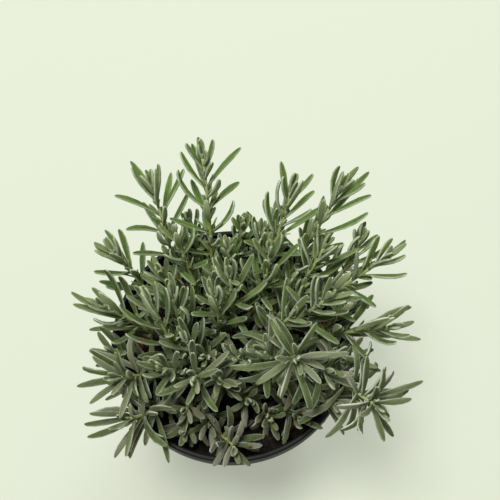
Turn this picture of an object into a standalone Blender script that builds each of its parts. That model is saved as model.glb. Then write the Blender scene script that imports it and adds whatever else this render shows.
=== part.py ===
"""Potted lavender: a young lavender of many leafy shoots in a round nursery pot.

Frame: +Z up, the origin at the middle of the pot's flat underside, the front at -Y.
Bearings are in degrees, seen from above, anticlockwise from +X.
"""

import math
import random

import bmesh
import bpy
from mathutils import Matrix, Quaternion, Vector
from mathutils.bvhtree import BVHTree

# ---------------------------------------------------------------- driving sizes (metres)

# pot
RIM_RADIUS = 0.060
POT_HEIGHT = 0.095
BASE_RADIUS = 0.0425
WALL = 0.0013
FLOOR = 0.0018
COLLAR_DEPTH = 0.0100
COLLAR_STEP = 0.0014
EDGE_ROUND = 0.0007
DRAIN_HOLES = 6
DRAIN_RADIUS = 0.0045
DRAIN_INSET = 0.0095
POT_SIDES = 56

# soil
SOIL_BELOW_RIM = 0.0150
SOIL_MOUND = 0.0040
SOIL_BUMP = 0.0009
SOIL_WAVES = (210.0, 180.0, 330.0)  # ripples across the soil, in radians per metre
SOIL_SIDES = 36
SOIL_RINGS = 5

# stems and leaves
STEM_WIDTH = 0.0019
STEM_TIP_WIDTH = 0.0013
STEM_SPAN = 0.010
STEM_BARE = 0.006
STEM_START_LEAN = 0.5  # how far a stem leans towards its tip as it leaves the soil
STEM_START_PULL = 0.38  # shares of the reach over which the stem keeps each end's direction
STEM_TIP_PULL = 0.36
LEAF_BASE = 0.0012
LEAF_WIDTH = 0.0031
LEAF_THICKNESS = 0.0009
LEAF_TIP_WIDTH = 0.0014
LEAF_SAG = 7.0  # degrees of droop for each pair below the tip, on a shoot that spreads by 1
SAG_FROM = 0.80  # the spread at which leaves begin to droop
LIGHT_TURN = 0.80  # share of the turn that would face a blade to the light above
LENGTH_RANGE = (0.80, 1.10)  # how leaves of one pair differ, as shares
WIDTH_RANGE = (0.92, 1.05)
YOUNG_WIDTH = 0.55  # width of the shortest leaves, as a share
LEAN_RANGE = 7  # degrees either way
BEND_RANGE = (-32, 14)
YAW_RANGE = 26
TWIST_RANGE = 25
FIRST_NODE = 0.0009
NODE_STEP = 0.0023
NODE_STEP_GROWTH = 0.00065
NODE_STEP_MAX = 0.0064
SPACING_POWER = 1.0  # a shoot that spreads has its pairs closer together
NODE_GAP_LEAST = 0.0010

# fits
FIT = 0.0003
LEAF_CLEARANCE = 0.00035
STEM_TRIALS = 60
LEAF_TRIALS = 30
LEAF_SWING = 0.7  # radians either way, at the last trial
LEAF_SHORTENING = 0.35

# colours: (red, green, blue), roughness
POT_PLASTIC = ((0.012, 0.013, 0.014), 0.45)
COMPOST = ((0.020, 0.014, 0.010), 0.95)
BARK = ((0.150, 0.050, 0.022), 0.85)
LEAF_GREEN = ((0.150, 0.210, 0.095), 0.70)

# A chip's outline, in halves of its length and width, and how much its top draws in
CHIP_OUTLINE = ((1, -0.4), (0.7, 0.9), (-0.6, 1), (-1, 0.2), (-0.8, -0.8), (0.3, -1))
CHIP_TAPER = 0.16

# Bark chips: name, bearing, share of the soil's radius, turn, length, width, thickness
BARK_CHIPS = (
    ("bark_chip_left", 172, 0.80, 20, 0.012, 0.006, 0.0022),
    ("bark_chip_back_left", 128, 0.52, 70, 0.010, 0.005, 0.0020),
    ("bark_chip_back", 96, 0.72, 150, 0.013, 0.006, 0.0024),
    ("bark_chip_back_right", 72, 0.88, 15, 0.011, 0.006, 0.0020),
    ("bark_chip_right", 12, 0.86, 95, 0.012, 0.005, 0.0022),
    ("bark_chip_front_left", 216, 0.60, 130, 0.011, 0.006, 0.0022),
    ("bark_chip_front", 262, 0.80, 35, 0.009, 0.005, 0.0018),
    ("bark_chip_front_right", 306, 0.84, 60, 0.012, 0.006, 0.0022),
)

# Shoots: name, foot bearing, foot reach (of the soil's radius), tip bearing, tip reach
# (of the rim's radius), tip height over the rim in mm, bearing and rise of the way the
# tip points, bearing of the top leaf pair, leaf pairs, longest leaf in mm, leaf spread.
SHOOTS = (
    ("shoot_front_tall", 312, 0.30, 318, 0.63, 50, 270, 72, 20, 14, 29, 1.40),
    ("shoot_back_tall", 110, 0.40, 97, 1.06, 75, 96, 52, 5, 11, 24, 0.92),
    ("shoot_back_left", 140, 0.52, 119, 1.10, 58, 108, 48, 0, 10, 27, 1.00),
    ("shoot_back_right", 68, 0.42, 58, 0.99, 62, 72, 50, 10, 10, 25, 0.95),
    ("shoot_right_back", 40, 0.50, 43, 1.24, 58, 50, 42, 330, 10, 29, 0.95),
    ("shoot_right_low", 350, 0.62, 324, 1.29, 36, 300, 62, 30, 14, 28, 1.40),
    ("shoot_right_back_low", 24, 0.68, 28, 1.22, 38, 72, 52, 10, 10, 22, 0.90),
    ("shoot_right_reach", 18, 0.50, 17, 1.30, 41, 24, 36, 300, 11, 25, 0.95),
    ("shoot_right_mid", 0, 0.55, 354, 1.24, 29, 350, 40, 80, 9, 26, 1.00),
    ("shoot_left_reach", 172, 0.62, 169, 0.98, 30, 163, 48, 80, 11, 28, 1.05),
    ("shoot_left_front", 200, 0.68, 203, 0.95, 27, 205, 55, 110, 11, 28, 1.15),
    ("shoot_front_left_low", 222, 0.70, 219, 1.06, 19, 208, 52, 125, 12, 30, 1.35),
    ("shoot_left_tall", 198, 0.46, 171, 0.60, 47, 118, 50, 25, 13, 29, 0.80),
    ("shoot_left_tall_inner", 178, 0.30, 160, 0.46, 42, 98, 58, 60, 12, 26, 0.80),
    ("shoot_middle", 160, 0.12, 130, 0.16, 44, 100, 62, 5, 12, 25, 1.00),
    ("shoot_middle_back", 50, 0.25, 52, 0.54, 52, 84, 62, 350, 12, 25, 0.95),
    ("shoot_middle_right", 330, 0.14, 308, 0.38, 40, 150, 52, 90, 12, 25, 1.05),
    ("shoot_front_left", 232, 0.42, 236, 0.54, 34, 255, 66, 20, 12, 26, 1.20),
    ("shoot_front_middle", 262, 0.40, 256, 0.46, 26, 270, 70, 60, 10, 17, 1.20),
    ("shoot_front_rim", 256, 0.78, 268, 0.92, 9, 270, 60, 15, 9, 20, 1.35),
    ("shoot_front_inner", 292, 0.58, 291, 0.74, 3, 280, 66, 30, 8, 18, 1.25),
    ("shoot_front_soil", 278, 0.46, 280, 0.56, 9, 274, 66, 70, 9, 18, 1.20),
    ("shoot_right_between", 30, 0.34, 32, 0.90, 44, 55, 52, 20, 11, 24, 1.00),
    ("shoot_right_inner", 12, 0.36, 5, 0.76, 44, 20, 54, 280, 11, 24, 1.05),
    ("shoot_back_left_inner", 128, 0.30, 120, 0.76, 48, 108, 58, 350, 11, 20, 1.05),
    ("shoot_back_middle_small", 88, 0.58, 80, 0.80, 37, 90, 60, 0, 9, 14, 1.05),
    ("shoot_back_low_left", 104, 0.74, 108, 0.92, 30, 105, 48, 30, 10, 20, 1.05),
    ("shoot_back_low_right", 62, 0.76, 66, 1.02, 26, 65, 40, 340, 10, 20, 1.05),
    ("shoot_left_back_low", 150, 0.74, 145, 1.08, 34, 138, 44, 60, 11, 24, 1.00),
    ("shoot_left_inner", 150, 0.46, 142, 0.66, 36, 120, 58, 40, 10, 21, 1.05),
    ("shoot_middle_left", 200, 0.22, 206, 0.38, 34, 130, 62, 30, 10, 25, 1.00),
    ("shoot_middle_front", 285, 0.22, 278, 0.30, 30, 262, 72, 45, 10, 19, 1.15),
    ("shoot_right_front_inner", 330, 0.46, 327, 0.86, 34, 308, 62, 60, 11, 25, 1.20),
    ("shoot_right_front_low", 326, 0.80, 320, 1.00, 14, 310, 52, 20, 10, 24, 1.15),
    ("shoot_front_right_low", 306, 0.70, 305, 0.86, 6, 300, 58, 60, 10, 20, 1.20),
    ("shoot_front_left_soil", 250, 0.62, 252, 0.74, 3, 262, 62, 40, 9, 19, 1.20),
    ("shoot_right_rim", 345, 0.78, 342, 1.04, 16, 345, 42, 60, 7, 22, 1.10),
    ("shoot_right_rim_back", 6, 0.80, 8, 1.02, 18, 20, 42, 290, 7, 21, 1.05),
    ("shoot_back_rim_right", 42, 0.78, 40, 1.04, 24, 45, 42, 320, 8, 21, 1.05),
    ("shoot_left_rim", 186, 0.82, 186, 1.00, 14, 185, 42, 100, 10, 20, 1.15),
    ("shoot_left_front_inner", 214, 0.44, 213, 0.64, 32, 195, 62, 60, 10, 22, 1.15),
    ("shoot_front_low", 238, 0.74, 240, 0.84, 5, 250, 60, 10, 9, 17, 1.25),
    ("shoot_middle_high", 80, 0.10, 86, 0.24, 50, 95, 68, 30, 11, 25, 1.05),
    ("shoot_back_inner", 86, 0.34, 88, 0.54, 42, 92, 60, 45, 10, 19, 1.05),
    ("shoot_inner_back_left", 118, 0.18, 104, 0.40, 36, 100, 60, 80, 10, 20, 1.05),
    ("shoot_inner_back_right", 60, 0.52, 66, 0.74, 38, 80, 58, 20, 10, 20, 1.05),
    ("shoot_inner_right", 20, 0.22, 20, 0.60, 32, 40, 58, 60, 10, 25, 1.05),
    ("shoot_inner_front_left", 230, 0.26, 228, 0.34, 26, 240, 66, 80, 10, 19, 1.15),
    ("shoot_front_left_rim", 236, 0.60, 236, 0.72, 12, 240, 60, 70, 9, 20, 1.20),
    ("shoot_right_centre", 350, 0.28, 352, 0.46, 43, 10, 64, 30, 11, 25, 1.10),
)

# Leaf pairs from the tip down: share of the longest leaf, and lean from the stem.
PAIR_LENGTHS = (0.38, 0.56, 0.72, 0.86, 0.95, 1.00, 1.00, 0.98, 0.94, 0.88, 0.82, 0.76, 0.70, 0.64)
PAIR_LEANS = (6, 15, 23, 30, 36, 41, 46, 51, 55, 59, 63, 66, 69, 72)
LEAF_WIDEST = 0.64

# ---------------------------------------------------------------- helpers

SOIL_LEVEL = POT_HEIGHT - SOIL_BELOW_RIM
UP = Vector((0, 0, 1))


def clear_scene():
    for item in list(bpy.data.objects):
        bpy.data.objects.remove(item)


def make_material(name, finish):
    colour, roughness = finish
    material = bpy.data.materials.new(name)
    material.use_nodes = True
    shader = material.node_tree.nodes["Principled BSDF"]
    shader.inputs["Base Color"].default_value = (*colour, 1.0)
    shader.inputs["Roughness"].default_value = roughness
    return material


def make_object(name, vertices, faces, material):
    mesh = bpy.data.meshes.new(name)
    mesh.from_pydata([tuple(v) for v in vertices], [], faces)
    mesh.materials.append(material)
    item = bpy.data.objects.new(name, mesh)
    bpy.context.collection.objects.link(item)
    return item


def polar(bearing, radius, height=0.0):
    angle = math.radians(bearing)
    return Vector((radius * math.cos(angle), radius * math.sin(angle), height))


def turned_solid(profile, sides, shaping=None):
    """Vertices and faces of a profile turned about Z, from the lower pole to the upper one.

    The profile's first and last points lie on the axis. A shaping function, if given,
    moves each vertex.
    """
    vertices = [Vector((0.0, 0.0, profile[0][1]))]
    for radius, z in profile[1:-1]:
        vertices += [polar(360.0 * side / sides, radius, z) for side in range(sides)]
    vertices.append(Vector((0.0, 0.0, profile[-1][1])))
    if shaping:
        vertices = [shaping(v) for v in vertices]
    rings = len(profile) - 2
    last = len(vertices) - 1
    faces = []
    for side in range(sides):
        after = (side + 1) % sides
        faces.append((0, 1 + after, 1 + side))
        for ring in range(rings - 1):
            low = 1 + ring * sides
            high = low + sides
            faces.append((low + side, low + after, high + after, high + side))
        top = 1 + (rings - 1) * sides
        faces.append((top + side, top + after, last))
    return vertices, faces


# ---------------------------------------------------------------- pot


def wall_radius(z):
    """Outer radius of the tapered wall at a height."""
    collar_foot = POT_HEIGHT - COLLAR_DEPTH
    top_radius = RIM_RADIUS - COLLAR_STEP
    return BASE_RADIUS + (top_radius - BASE_RADIUS) * min(z / collar_foot, 1.0)


def inner_radius(z):
    return wall_radius(z) - WALL


def build_pot(material):
    collar_foot = POT_HEIGHT - COLLAR_DEPTH
    profile = (
        (0.0, 0.0),
        (BASE_RADIUS - EDGE_ROUND, 0.0),
        (wall_radius(EDGE_ROUND), EDGE_ROUND),
        (wall_radius(collar_foot), collar_foot),
        (RIM_RADIUS - EDGE_ROUND, collar_foot),
        (RIM_RADIUS, collar_foot + EDGE_ROUND),
        (RIM_RADIUS, POT_HEIGHT - EDGE_ROUND),
        (RIM_RADIUS - EDGE_ROUND, POT_HEIGHT),
        (inner_radius(POT_HEIGHT) + EDGE_ROUND, POT_HEIGHT),
        (inner_radius(POT_HEIGHT), POT_HEIGHT - EDGE_ROUND),
        (inner_radius(collar_foot), collar_foot),
        (inner_radius(FLOOR), FLOOR),
        (0.0, FLOOR),
    )
    vertices, faces = turned_solid(profile, POT_SIDES)
    pot = make_object("pot", vertices, faces, material)
    pot.data.shade_smooth()
    pot.data.set_sharp_from_angle(angle=math.radians(30))
    holes = bmesh.new()
    for hole in range(DRAIN_HOLES):
        place = polar(360.0 * (hole + 0.5) / DRAIN_HOLES, BASE_RADIUS - DRAIN_INSET, FLOOR / 2)
        bmesh.ops.create_cone(
            holes, cap_ends=True, segments=14, radius1=DRAIN_RADIUS, radius2=DRAIN_RADIUS,
            depth=FLOOR * 3, matrix=Matrix.Translation(place))
    cutter_mesh = bpy.data.meshes.new("drain_cutter")
    holes.to_mesh(cutter_mesh)
    holes.free()
    cutter = bpy.data.objects.new("drain_cutter", cutter_mesh)
    cutter.hide_render = True
    cutter.display_type = "WIRE"
    bpy.context.collection.objects.link(cutter)
    drain = pot.modifiers.new("drain", "BOOLEAN")
    drain.operation = "DIFFERENCE"
    drain.solver = "EXACT"
    drain.object = cutter
    return pot, vertices, faces


# ---------------------------------------------------------------- soil and bark


def soil_height(x, y):
    """Height of the soil's top: a low mound with a few soft bumps, level at the wall."""
    reach = min(math.hypot(x, y) / inner_radius(SOIL_LEVEL), 1.0)
    wave_x, wave_y, wave_both = SOIL_WAVES
    bumps = math.sin(wave_x * x + 1.0) * math.cos(wave_y * y) + math.sin(wave_both * (x + y))
    return SOIL_LEVEL + (1.0 - reach * reach) * (SOIL_MOUND + SOIL_BUMP * bumps)


def build_soil(material):
    edge = inner_radius(SOIL_LEVEL) - FIT
    foot = FLOOR + FIT
    profile = [(0.0, foot), (inner_radius(foot) - FIT, foot), (edge, SOIL_LEVEL)]
    profile += [(edge * (1.0 - ring / SOIL_RINGS), SOIL_LEVEL) for ring in range(1, SOIL_RINGS)]
    profile.append((0.0, SOIL_LEVEL))

    def shaped(vertex):
        if vertex.z < SOIL_LEVEL:
            return vertex
        return Vector((vertex.x, vertex.y, soil_height(vertex.x, vertex.y)))

    vertices, faces = turned_solid(profile, SOIL_SIDES, shaped)
    soil = make_object("soil", vertices, faces, material)
    soil.data.shade_smooth()
    soil.data.set_sharp_from_angle(angle=math.radians(40))
    return vertices, faces


def build_bark_chip(chip, soil_tree, material):
    """A flat chip with chamfered corners, laid on the soil and square to its slope."""
    name, bearing, reach, turn, length, width, thickness = chip
    centre = polar(bearing, reach * inner_radius(SOIL_LEVEL), POT_HEIGHT)
    _, slope, _, _ = soil_tree.ray_cast(centre, -UP)
    tilt = UP.rotation_difference(slope)
    turned = tilt @ Quaternion((0, 0, 1), math.radians(turn))
    centre.z = 0.0
    low = [centre + turned @ Vector((x * length / 2, y * width / 2, 0)) for x, y in CHIP_OUTLINE]
    high = [v.lerp(centre, CHIP_TAPER) + turned @ UP * thickness for v in low]
    samples = [a.lerp(b, share / 4) for a in low for b in low for share in range(5)]
    lifts = []
    for sample in samples:
        ground, _, _, _ = soil_tree.ray_cast(Vector((sample.x, sample.y, POT_HEIGHT)), -UP)
        lifts.append(ground.z - sample.z)
    vertices = [v + UP * (max(lifts) + FIT) for v in low + high]
    count = len(CHIP_OUTLINE)
    faces = [tuple(reversed(range(count))), tuple(range(count, 2 * count))]
    for side in range(count):
        after = (side + 1) % count
        faces.append((side, after, after + count, side + count))
    make_object(name, vertices, faces, material)
    return vertices, faces


# ---------------------------------------------------------------- growth of a shoot


def direction(bearing, rise):
    flat = math.cos(math.radians(rise))
    return polar(bearing, flat, math.sin(math.radians(rise)))


def stem_path(foot, tip, pointing, steps=28):
    """Points of a stem that leaves the soil steeply and ends along a given direction."""
    reach = (tip - foot).length
    outward = Vector((tip.x - foot.x, tip.y - foot.y, 0.0))
    start = (UP + outward * (STEM_START_LEAN / reach)).normalized()
    control_a = foot + start * (STEM_START_PULL * reach)
    control_b = tip - pointing * (STEM_TIP_PULL * reach)
    points = []
    for step in range(steps + 1):
        t = step / steps
        s = 1.0 - t
        points.append(foot * s**3 + control_a * (3 * s * s * t) + control_b * (3 * s * t * t) + tip * t**3)
    return points


class Stem:
    """A stem's centre line, measured from the tip down, with a frame that doesn't spin."""

    def __init__(self, path, roll):
        self.points = path[::-1]
        self.reach = [0.0]
        for before, after in zip(self.points, self.points[1:]):
            self.reach.append(self.reach[-1] + (after - before).length)
        self.length = self.reach[-1]
        tangent = (self.points[0] - self.points[1]).normalized()
        side = polar(roll, 1.0)
        side = (side - tangent * side.dot(tangent)).normalized()
        self.frames = [(tangent, side)]
        for index in range(1, len(self.points)):
            before = self.points[index - 1]
            after = self.points[min(index + 1, len(self.points) - 1)]
            tangent = (before - after).normalized()
            side = (side - tangent * side.dot(tangent)).normalized()
            self.frames.append((tangent, side))

    def at(self, distance):
        """Point, tangent towards the tip, and two side axes at a distance below the tip."""
        distance = min(max(distance, 0.0), self.length)
        index = 1
        while index < len(self.reach) - 1 and self.reach[index] < distance:
            index += 1
        span = self.reach[index] - self.reach[index - 1]
        share = (distance - self.reach[index - 1]) / span
        point = self.points[index - 1].lerp(self.points[index], share)
        tangent = self.frames[index - 1][0].lerp(self.frames[index][0], share).normalized()
        side = self.frames[index - 1][1].lerp(self.frames[index][1], share)
        side = (side - tangent * side.dot(tangent)).normalized()
        return point, tangent, side, tangent.cross(side)

    def half_width(self, distance):
        share = min(distance / self.length, 1.0)
        return (STEM_TIP_WIDTH + (STEM_WIDTH - STEM_TIP_WIDTH) * share) / 2


class Leaf:
    """One leaf: an arc in the plane of the stem and the leaf's outward side."""

    def __init__(self, base, tangent, outward, length, width, lean, bend, yaw, twist):
        turn = Quaternion(tangent, yaw)
        self.base = base
        self.tangent = tangent
        self.outward = turn @ outward
        self.length = length
        self.width = width
        self.lean = lean
        self.bend = bend
        self.twist = twist

    def frame(self, share):
        """Centre, width axis, upper side and heading at a share of the length."""
        low = self.lean
        high = self.lean + self.bend * share
        if abs(self.bend) * share < 1e-4:
            along = math.cos(low) * share
            out = math.sin(low) * share
        else:
            along = (math.sin(high) - math.sin(low)) / self.bend
            out = (math.cos(low) - math.cos(high)) / self.bend
        centre = self.base + (self.tangent * along + self.outward * out) * self.length
        heading = self.tangent * math.cos(high) + self.outward * math.sin(high)
        upper = self.tangent * math.sin(high) - self.outward * math.cos(high)
        across = self.tangent.cross(self.outward)
        roll = Quaternion(heading, self.twist * min(share / LEAF_WIDEST, 1.0))
        return centre, roll @ across, roll @ upper, heading

    def turn_to_light(self):
        """Twist the blade part of the way to face up, as leaves do at their foot."""
        _, across, upper, heading = self.frame(LEAF_WIDEST)
        turn = math.atan2(-across.dot(UP), upper.dot(UP))
        self.twist += LIGHT_TURN * turn * heading.cross(UP).length

    def ring(self, share, grow=0.0):
        """Four corners of the blade's section, grown on every side for a clearance test."""
        centre, across, upper, heading = self.frame(share)
        width = self.width if share < 1.0 else LEAF_TIP_WIDTH
        if share == 0.0:
            width = LEAF_BASE
        half = width / 2 + grow
        deep = LEAF_THICKNESS / 2 + grow
        centre = centre + heading * (grow if share == 1.0 else 0.0)
        return [
            centre - across * half - upper * deep,
            centre + across * half - upper * deep,
            centre + across * half + upper * deep,
            centre - across * half + upper * deep,
        ]

    def tip_edge(self):
        """The two ends of the blunt edge that closes the blade."""
        centre, across, _, _ = self.frame(1.0)
        return centre - across * (LEAF_TIP_WIDTH / 2), centre + across * (LEAF_TIP_WIDTH / 2)


def tube_faces(rings):
    """Faces of a closed tube of four-cornered rings, laid one after another."""
    faces = [(3, 2, 1, 0)]
    for ring in range(rings - 1):
        low = 4 * ring
        for corner in range(4):
            after = (corner + 1) % 4
            faces.append((low + corner, low + after, low + 4 + after, low + 4 + corner))
    last = 4 * (rings - 1)
    faces.append((last, last + 1, last + 2, last + 3))
    return faces


class Solid:
    """A closed shape for clearance tests: its box and its search tree.

    A twisted four-cornered face can be split along either diagonal, so both are tested.
    """

    def __init__(self, vertices, faces):
        triangles = []
        for face in faces:
            if len(face) == 4:
                a, b, c, d = face
                triangles += [(a, b, c), (c, d, a), (b, c, d), (d, a, b)]
            else:
                triangles.append(face)
        self.tree = BVHTree.FromPolygons(vertices, triangles)
        self.low = [min(v[axis] for v in vertices) for axis in range(3)]
        self.high = [max(v[axis] for v in vertices) for axis in range(3)]

    def meets(self, other):
        for axis in range(3):
            if self.low[axis] > other.high[axis] or other.low[axis] > self.high[axis]:
                return False
        return bool(self.tree.overlap(other.tree))


def leaf_solid(leaf, start, grow):
    shares = (start, LEAF_WIDEST, 1.0)
    vertices = [corner for share in shares for corner in leaf.ring(share, grow)]
    return Solid(vertices, tube_faces(len(shares)))


def stem_ring(stem, distance, grow=0.0):
    """Four corners of the square stem; the lowest ring is level, to stand on the soil."""
    point, _, side, across = stem.at(distance)
    half = stem.half_width(distance) + grow
    corners = [
        point + (side + across) * half,
        point + (across - side) * half,
        point - (side + across) * half,
        point + (side - across) * half,
    ]
    if distance >= stem.length:
        for corner in corners:
            corner.z = point.z
    return corners


def stem_solid(stem, grow):
    count = 9
    distances = [stem.length * (1 - index / (count - 1)) for index in range(count)]
    vertices = [corner for d in distances for corner in stem_ring(stem, d, grow)]
    return Solid(vertices, tube_faces(count))


def node_places(pairs, spread, room):
    """Distances of the leaf pairs below the tip, closer together towards it."""
    scale = spread ** -SPACING_POWER
    places = [FIRST_NODE]
    step = NODE_STEP
    while len(places) < pairs and places[-1] + step * scale < room:
        places.append(places[-1] + step * scale)
        step = min(step + NODE_STEP_GROWTH, NODE_STEP_MAX)
    return places


def highest_ground(place, reach, ground):
    """Highest point of the soil within a small square around a place."""
    heights = []
    for row in range(-3, 4):
        for column in range(-3, 4):
            start = Vector((place.x + reach * row / 3, place.y + reach * column / 3, POT_HEIGHT))
            heights.append(ground.ray_cast(start, -UP)[0].z)
    return max(heights)


def place_stem(spec, obstacles, ground):
    """The stem of a shoot, moved a little if it would touch another stem."""
    _, foot_bearing, foot_reach, bearing, reach, height, heading, rise, roll = spec[:9]
    luck = random.Random(spec[0])
    for trial in range(STEM_TRIALS):
        loose = trial * 0.25
        foot = polar(foot_bearing + loose * luck.uniform(-3, 3),
                     inner_radius(SOIL_LEVEL) * (foot_reach + loose * luck.uniform(-0.01, 0.01)))
        foot.z = FIT + highest_ground(foot, STEM_WIDTH, ground)
        tip = polar(bearing + loose * luck.uniform(-1, 1), RIM_RADIUS * reach,
                    POT_HEIGHT + height * 0.001)
        stem = Stem(stem_path(foot, tip, direction(heading, rise)), roll)
        tested = stem_solid(stem, LEAF_CLEARANCE)
        if not any(tested.meets(other) for other in obstacles):
            return stem
    return None


def place_leaf(stem, spec, pair, distance, side_sign, obstacles, own):
    """One leaf, turned or shortened a little where it would touch something."""
    longest, spread = spec[10] * 0.001, spec[11]
    luck = random.Random(f"{spec[0]}/{pair}/{side_sign}")
    point, tangent, side, across = stem.at(distance)
    axis = side if pair % 2 == 0 else across
    outward = axis * side_sign
    base = point + outward * stem.half_width(distance)
    length = longest * PAIR_LENGTHS[pair] * luck.uniform(*LENGTH_RANGE)
    width = YOUNG_WIDTH + (1.0 - YOUNG_WIDTH) * PAIR_LENGTHS[pair]
    width *= LEAF_WIDTH * luck.uniform(*WIDTH_RANGE)
    lean = math.radians(PAIR_LEANS[pair] * spread + luck.uniform(-LEAN_RANGE, LEAN_RANGE))
    bend = math.radians(luck.uniform(*BEND_RANGE) + LEAF_SAG * pair * (spread - SAG_FROM))
    yaw = math.radians(luck.uniform(-YAW_RANGE, YAW_RANGE))
    twist = math.radians(luck.uniform(-TWIST_RANGE, TWIST_RANGE))
    for trial in range(LEAF_TRIALS):
        loose = trial / LEAF_TRIALS
        shorter = 1.0 - LEAF_SHORTENING * loose * luck.random()
        swing = [loose * luck.uniform(-LEAF_SWING, LEAF_SWING) for _ in range(4)]
        if pair == 0:
            swing[0] = 0.0
        leaf = Leaf(base, tangent, outward, length * shorter, width,
                    lean + swing[0], bend + swing[1], yaw + swing[2], twist + swing[3])
        leaf.turn_to_light()
        whole = leaf_solid(leaf, 0.02, LEAF_CLEARANCE)
        if any(whole.meets(other) for other in obstacles):
            continue
        outer = leaf_solid(leaf, 0.22, LEAF_CLEARANCE / 3)
        if not any(outer.meets(other) for other in own):
            return leaf
    return None


def grow_shoots(fixed, ground):
    """Every shoot's stem and leaves, each clear of the others: stems first, then leaves."""
    stems = []
    for spec in SHOOTS:
        stem = place_stem(spec, fixed + [solid for _, _, solid in stems], ground)
        if stem:
            stems.append((spec, stem, stem_solid(stem, 0.0)))
    grown = []
    finished = []
    for index, (spec, stem, solid) in enumerate(stems):
        waiting = [other for _, _, other in stems[index + 1:]]
        obstacles = fixed + finished + waiting
        own = [solid]
        leaves = []
        for pair, distance in enumerate(node_places(spec[9], spec[11], stem.length - STEM_BARE)):
            found = {}
            for side_sign in (1, -1):
                leaf = place_leaf(stem, spec, pair, distance, side_sign, obstacles, own)
                if leaf:
                    found[side_sign] = leaf
                    own.append(leaf_solid(leaf, 0.12, 0.0))
            leaves.append((distance, found))
        vertices, faces = shoot_mesh(stem, leaves)
        finished.append(Solid(vertices, faces))
        grown.append((spec, stem, leaves, vertices, faces))
    return grown


def stem_breaks(stem, leaves):
    """Rings of the stem, as distances below the tip, with the pair that grows above each.

    Each pair fills a short length of stem. Close pairs share a ring, and the bare stem
    below them is divided evenly.
    """
    breaks = []
    for pair, (distance, found) in enumerate(leaves):
        high = distance - LEAF_BASE / 2
        if breaks and high - breaks[-1][0] < NODE_GAP_LEAST:
            breaks[-1][0] = (breaks[-1][0] + high) / 2
        else:
            breaks.append([high, 0, {}])
        breaks.append([distance + LEAF_BASE / 2, pair, found])
    lowest = breaks[-1][0]
    spans = max(1, round((stem.length - lowest) / STEM_SPAN))
    for span in range(1, spans + 1):
        breaks.append([lowest + (stem.length - lowest) * span / spans, 0, {}])
    return breaks[::-1]


def shoot_mesh(stem, leaves):
    """One closed mesh: a square stem whose side faces are drawn out into the leaves."""
    breaks = stem_breaks(stem, leaves)
    vertices = [corner for distance, _, _ in breaks for corner in stem_ring(stem, distance)]
    faces = [(3, 2, 1, 0)]
    for ring, (_, pair, found) in enumerate(breaks[:-1]):
        low = 4 * ring
        for corner in range(4):
            after = (corner + 1) % 4
            loop = (low + corner, low + after, low + 4 + after, low + 4 + corner)
            on_leaf_side = corner % 2 != pair % 2
            leaf = found.get(1 if corner in (0, 3) else -1) if on_leaf_side else None
            if leaf:
                draw_out_leaf(vertices, faces, loop, leaf)
            else:
                faces.append(loop)
    last = 4 * (len(breaks) - 1)
    faces.append((last, last + 1, last + 2, last + 3))
    return vertices, faces


def draw_out_leaf(vertices, faces, loop, leaf):
    """Add a blade that grows from a side face of the stem and ends in a blunt edge."""
    start = len(vertices)
    vertices += leaf.ring(LEAF_WIDEST)
    wide = tuple(range(start, start + 4))
    for edge in range(4):
        after = (edge + 1) % 4
        faces.append((loop[edge], loop[after], wide[after], wide[edge]))
    left, right = leaf.tip_edge()
    vertices += [left, right]
    left, right = start + 4, start + 5
    faces.append((wide[0], wide[1], right, left))
    faces.append((wide[1], wide[2], right))
    faces.append((wide[2], wide[3], left, right))
    faces.append((wide[3], wide[0], left))


# ---------------------------------------------------------------- the whole plant


def main():
    clear_scene()
    pot_material = make_material("black_plastic", POT_PLASTIC)
    soil_material = make_material("compost", COMPOST)
    bark_material = make_material("bark", BARK)
    leaf_material = make_material("lavender_leaf", LEAF_GREEN)
    _, pot_vertices, pot_faces = build_pot(pot_material)
    soil_vertices, soil_faces = build_soil(soil_material)
    fixed = [Solid(pot_vertices, pot_faces), Solid(soil_vertices, soil_faces)]
    ground = fixed[1].tree
    for chip in BARK_CHIPS:
        fixed.append(Solid(*build_bark_chip(chip, ground, bark_material)))
    for spec, _, _, vertices, faces in grow_shoots(fixed, ground):
        make_object(spec[0], vertices, faces, leaf_material)


main()
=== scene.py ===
"""Potted lavender: the looks of a young lavender in a round nursery pot.

The shoots grow by the same rules as their solids, and each leaf is then drawn as a
rolled, felted blade. Everything is in metres, +Z up, the front at -Y.
"""

import math
import random

import bpy
import numpy as np
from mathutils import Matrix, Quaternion, Vector
from mathutils.bvhtree import BVHTree


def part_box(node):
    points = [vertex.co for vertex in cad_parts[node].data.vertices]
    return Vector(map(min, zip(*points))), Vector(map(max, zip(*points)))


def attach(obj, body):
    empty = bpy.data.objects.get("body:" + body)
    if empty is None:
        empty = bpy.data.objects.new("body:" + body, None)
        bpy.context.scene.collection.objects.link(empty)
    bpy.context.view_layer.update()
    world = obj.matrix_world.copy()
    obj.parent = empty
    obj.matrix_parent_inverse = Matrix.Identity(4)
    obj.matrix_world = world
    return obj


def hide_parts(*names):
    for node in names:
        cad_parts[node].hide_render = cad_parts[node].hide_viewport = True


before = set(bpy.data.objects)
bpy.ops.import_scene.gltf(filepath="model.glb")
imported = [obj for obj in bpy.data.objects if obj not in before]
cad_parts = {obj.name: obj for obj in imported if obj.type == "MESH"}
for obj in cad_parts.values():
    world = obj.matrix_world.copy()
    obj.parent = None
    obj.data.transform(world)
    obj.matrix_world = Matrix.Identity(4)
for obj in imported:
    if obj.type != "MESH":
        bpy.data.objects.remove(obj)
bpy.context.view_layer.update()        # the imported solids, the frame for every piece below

# ---------------------------------------------------------------- sizes (metres)

FIT = 0.0003
UP = Vector((0, 0, 1))

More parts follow.
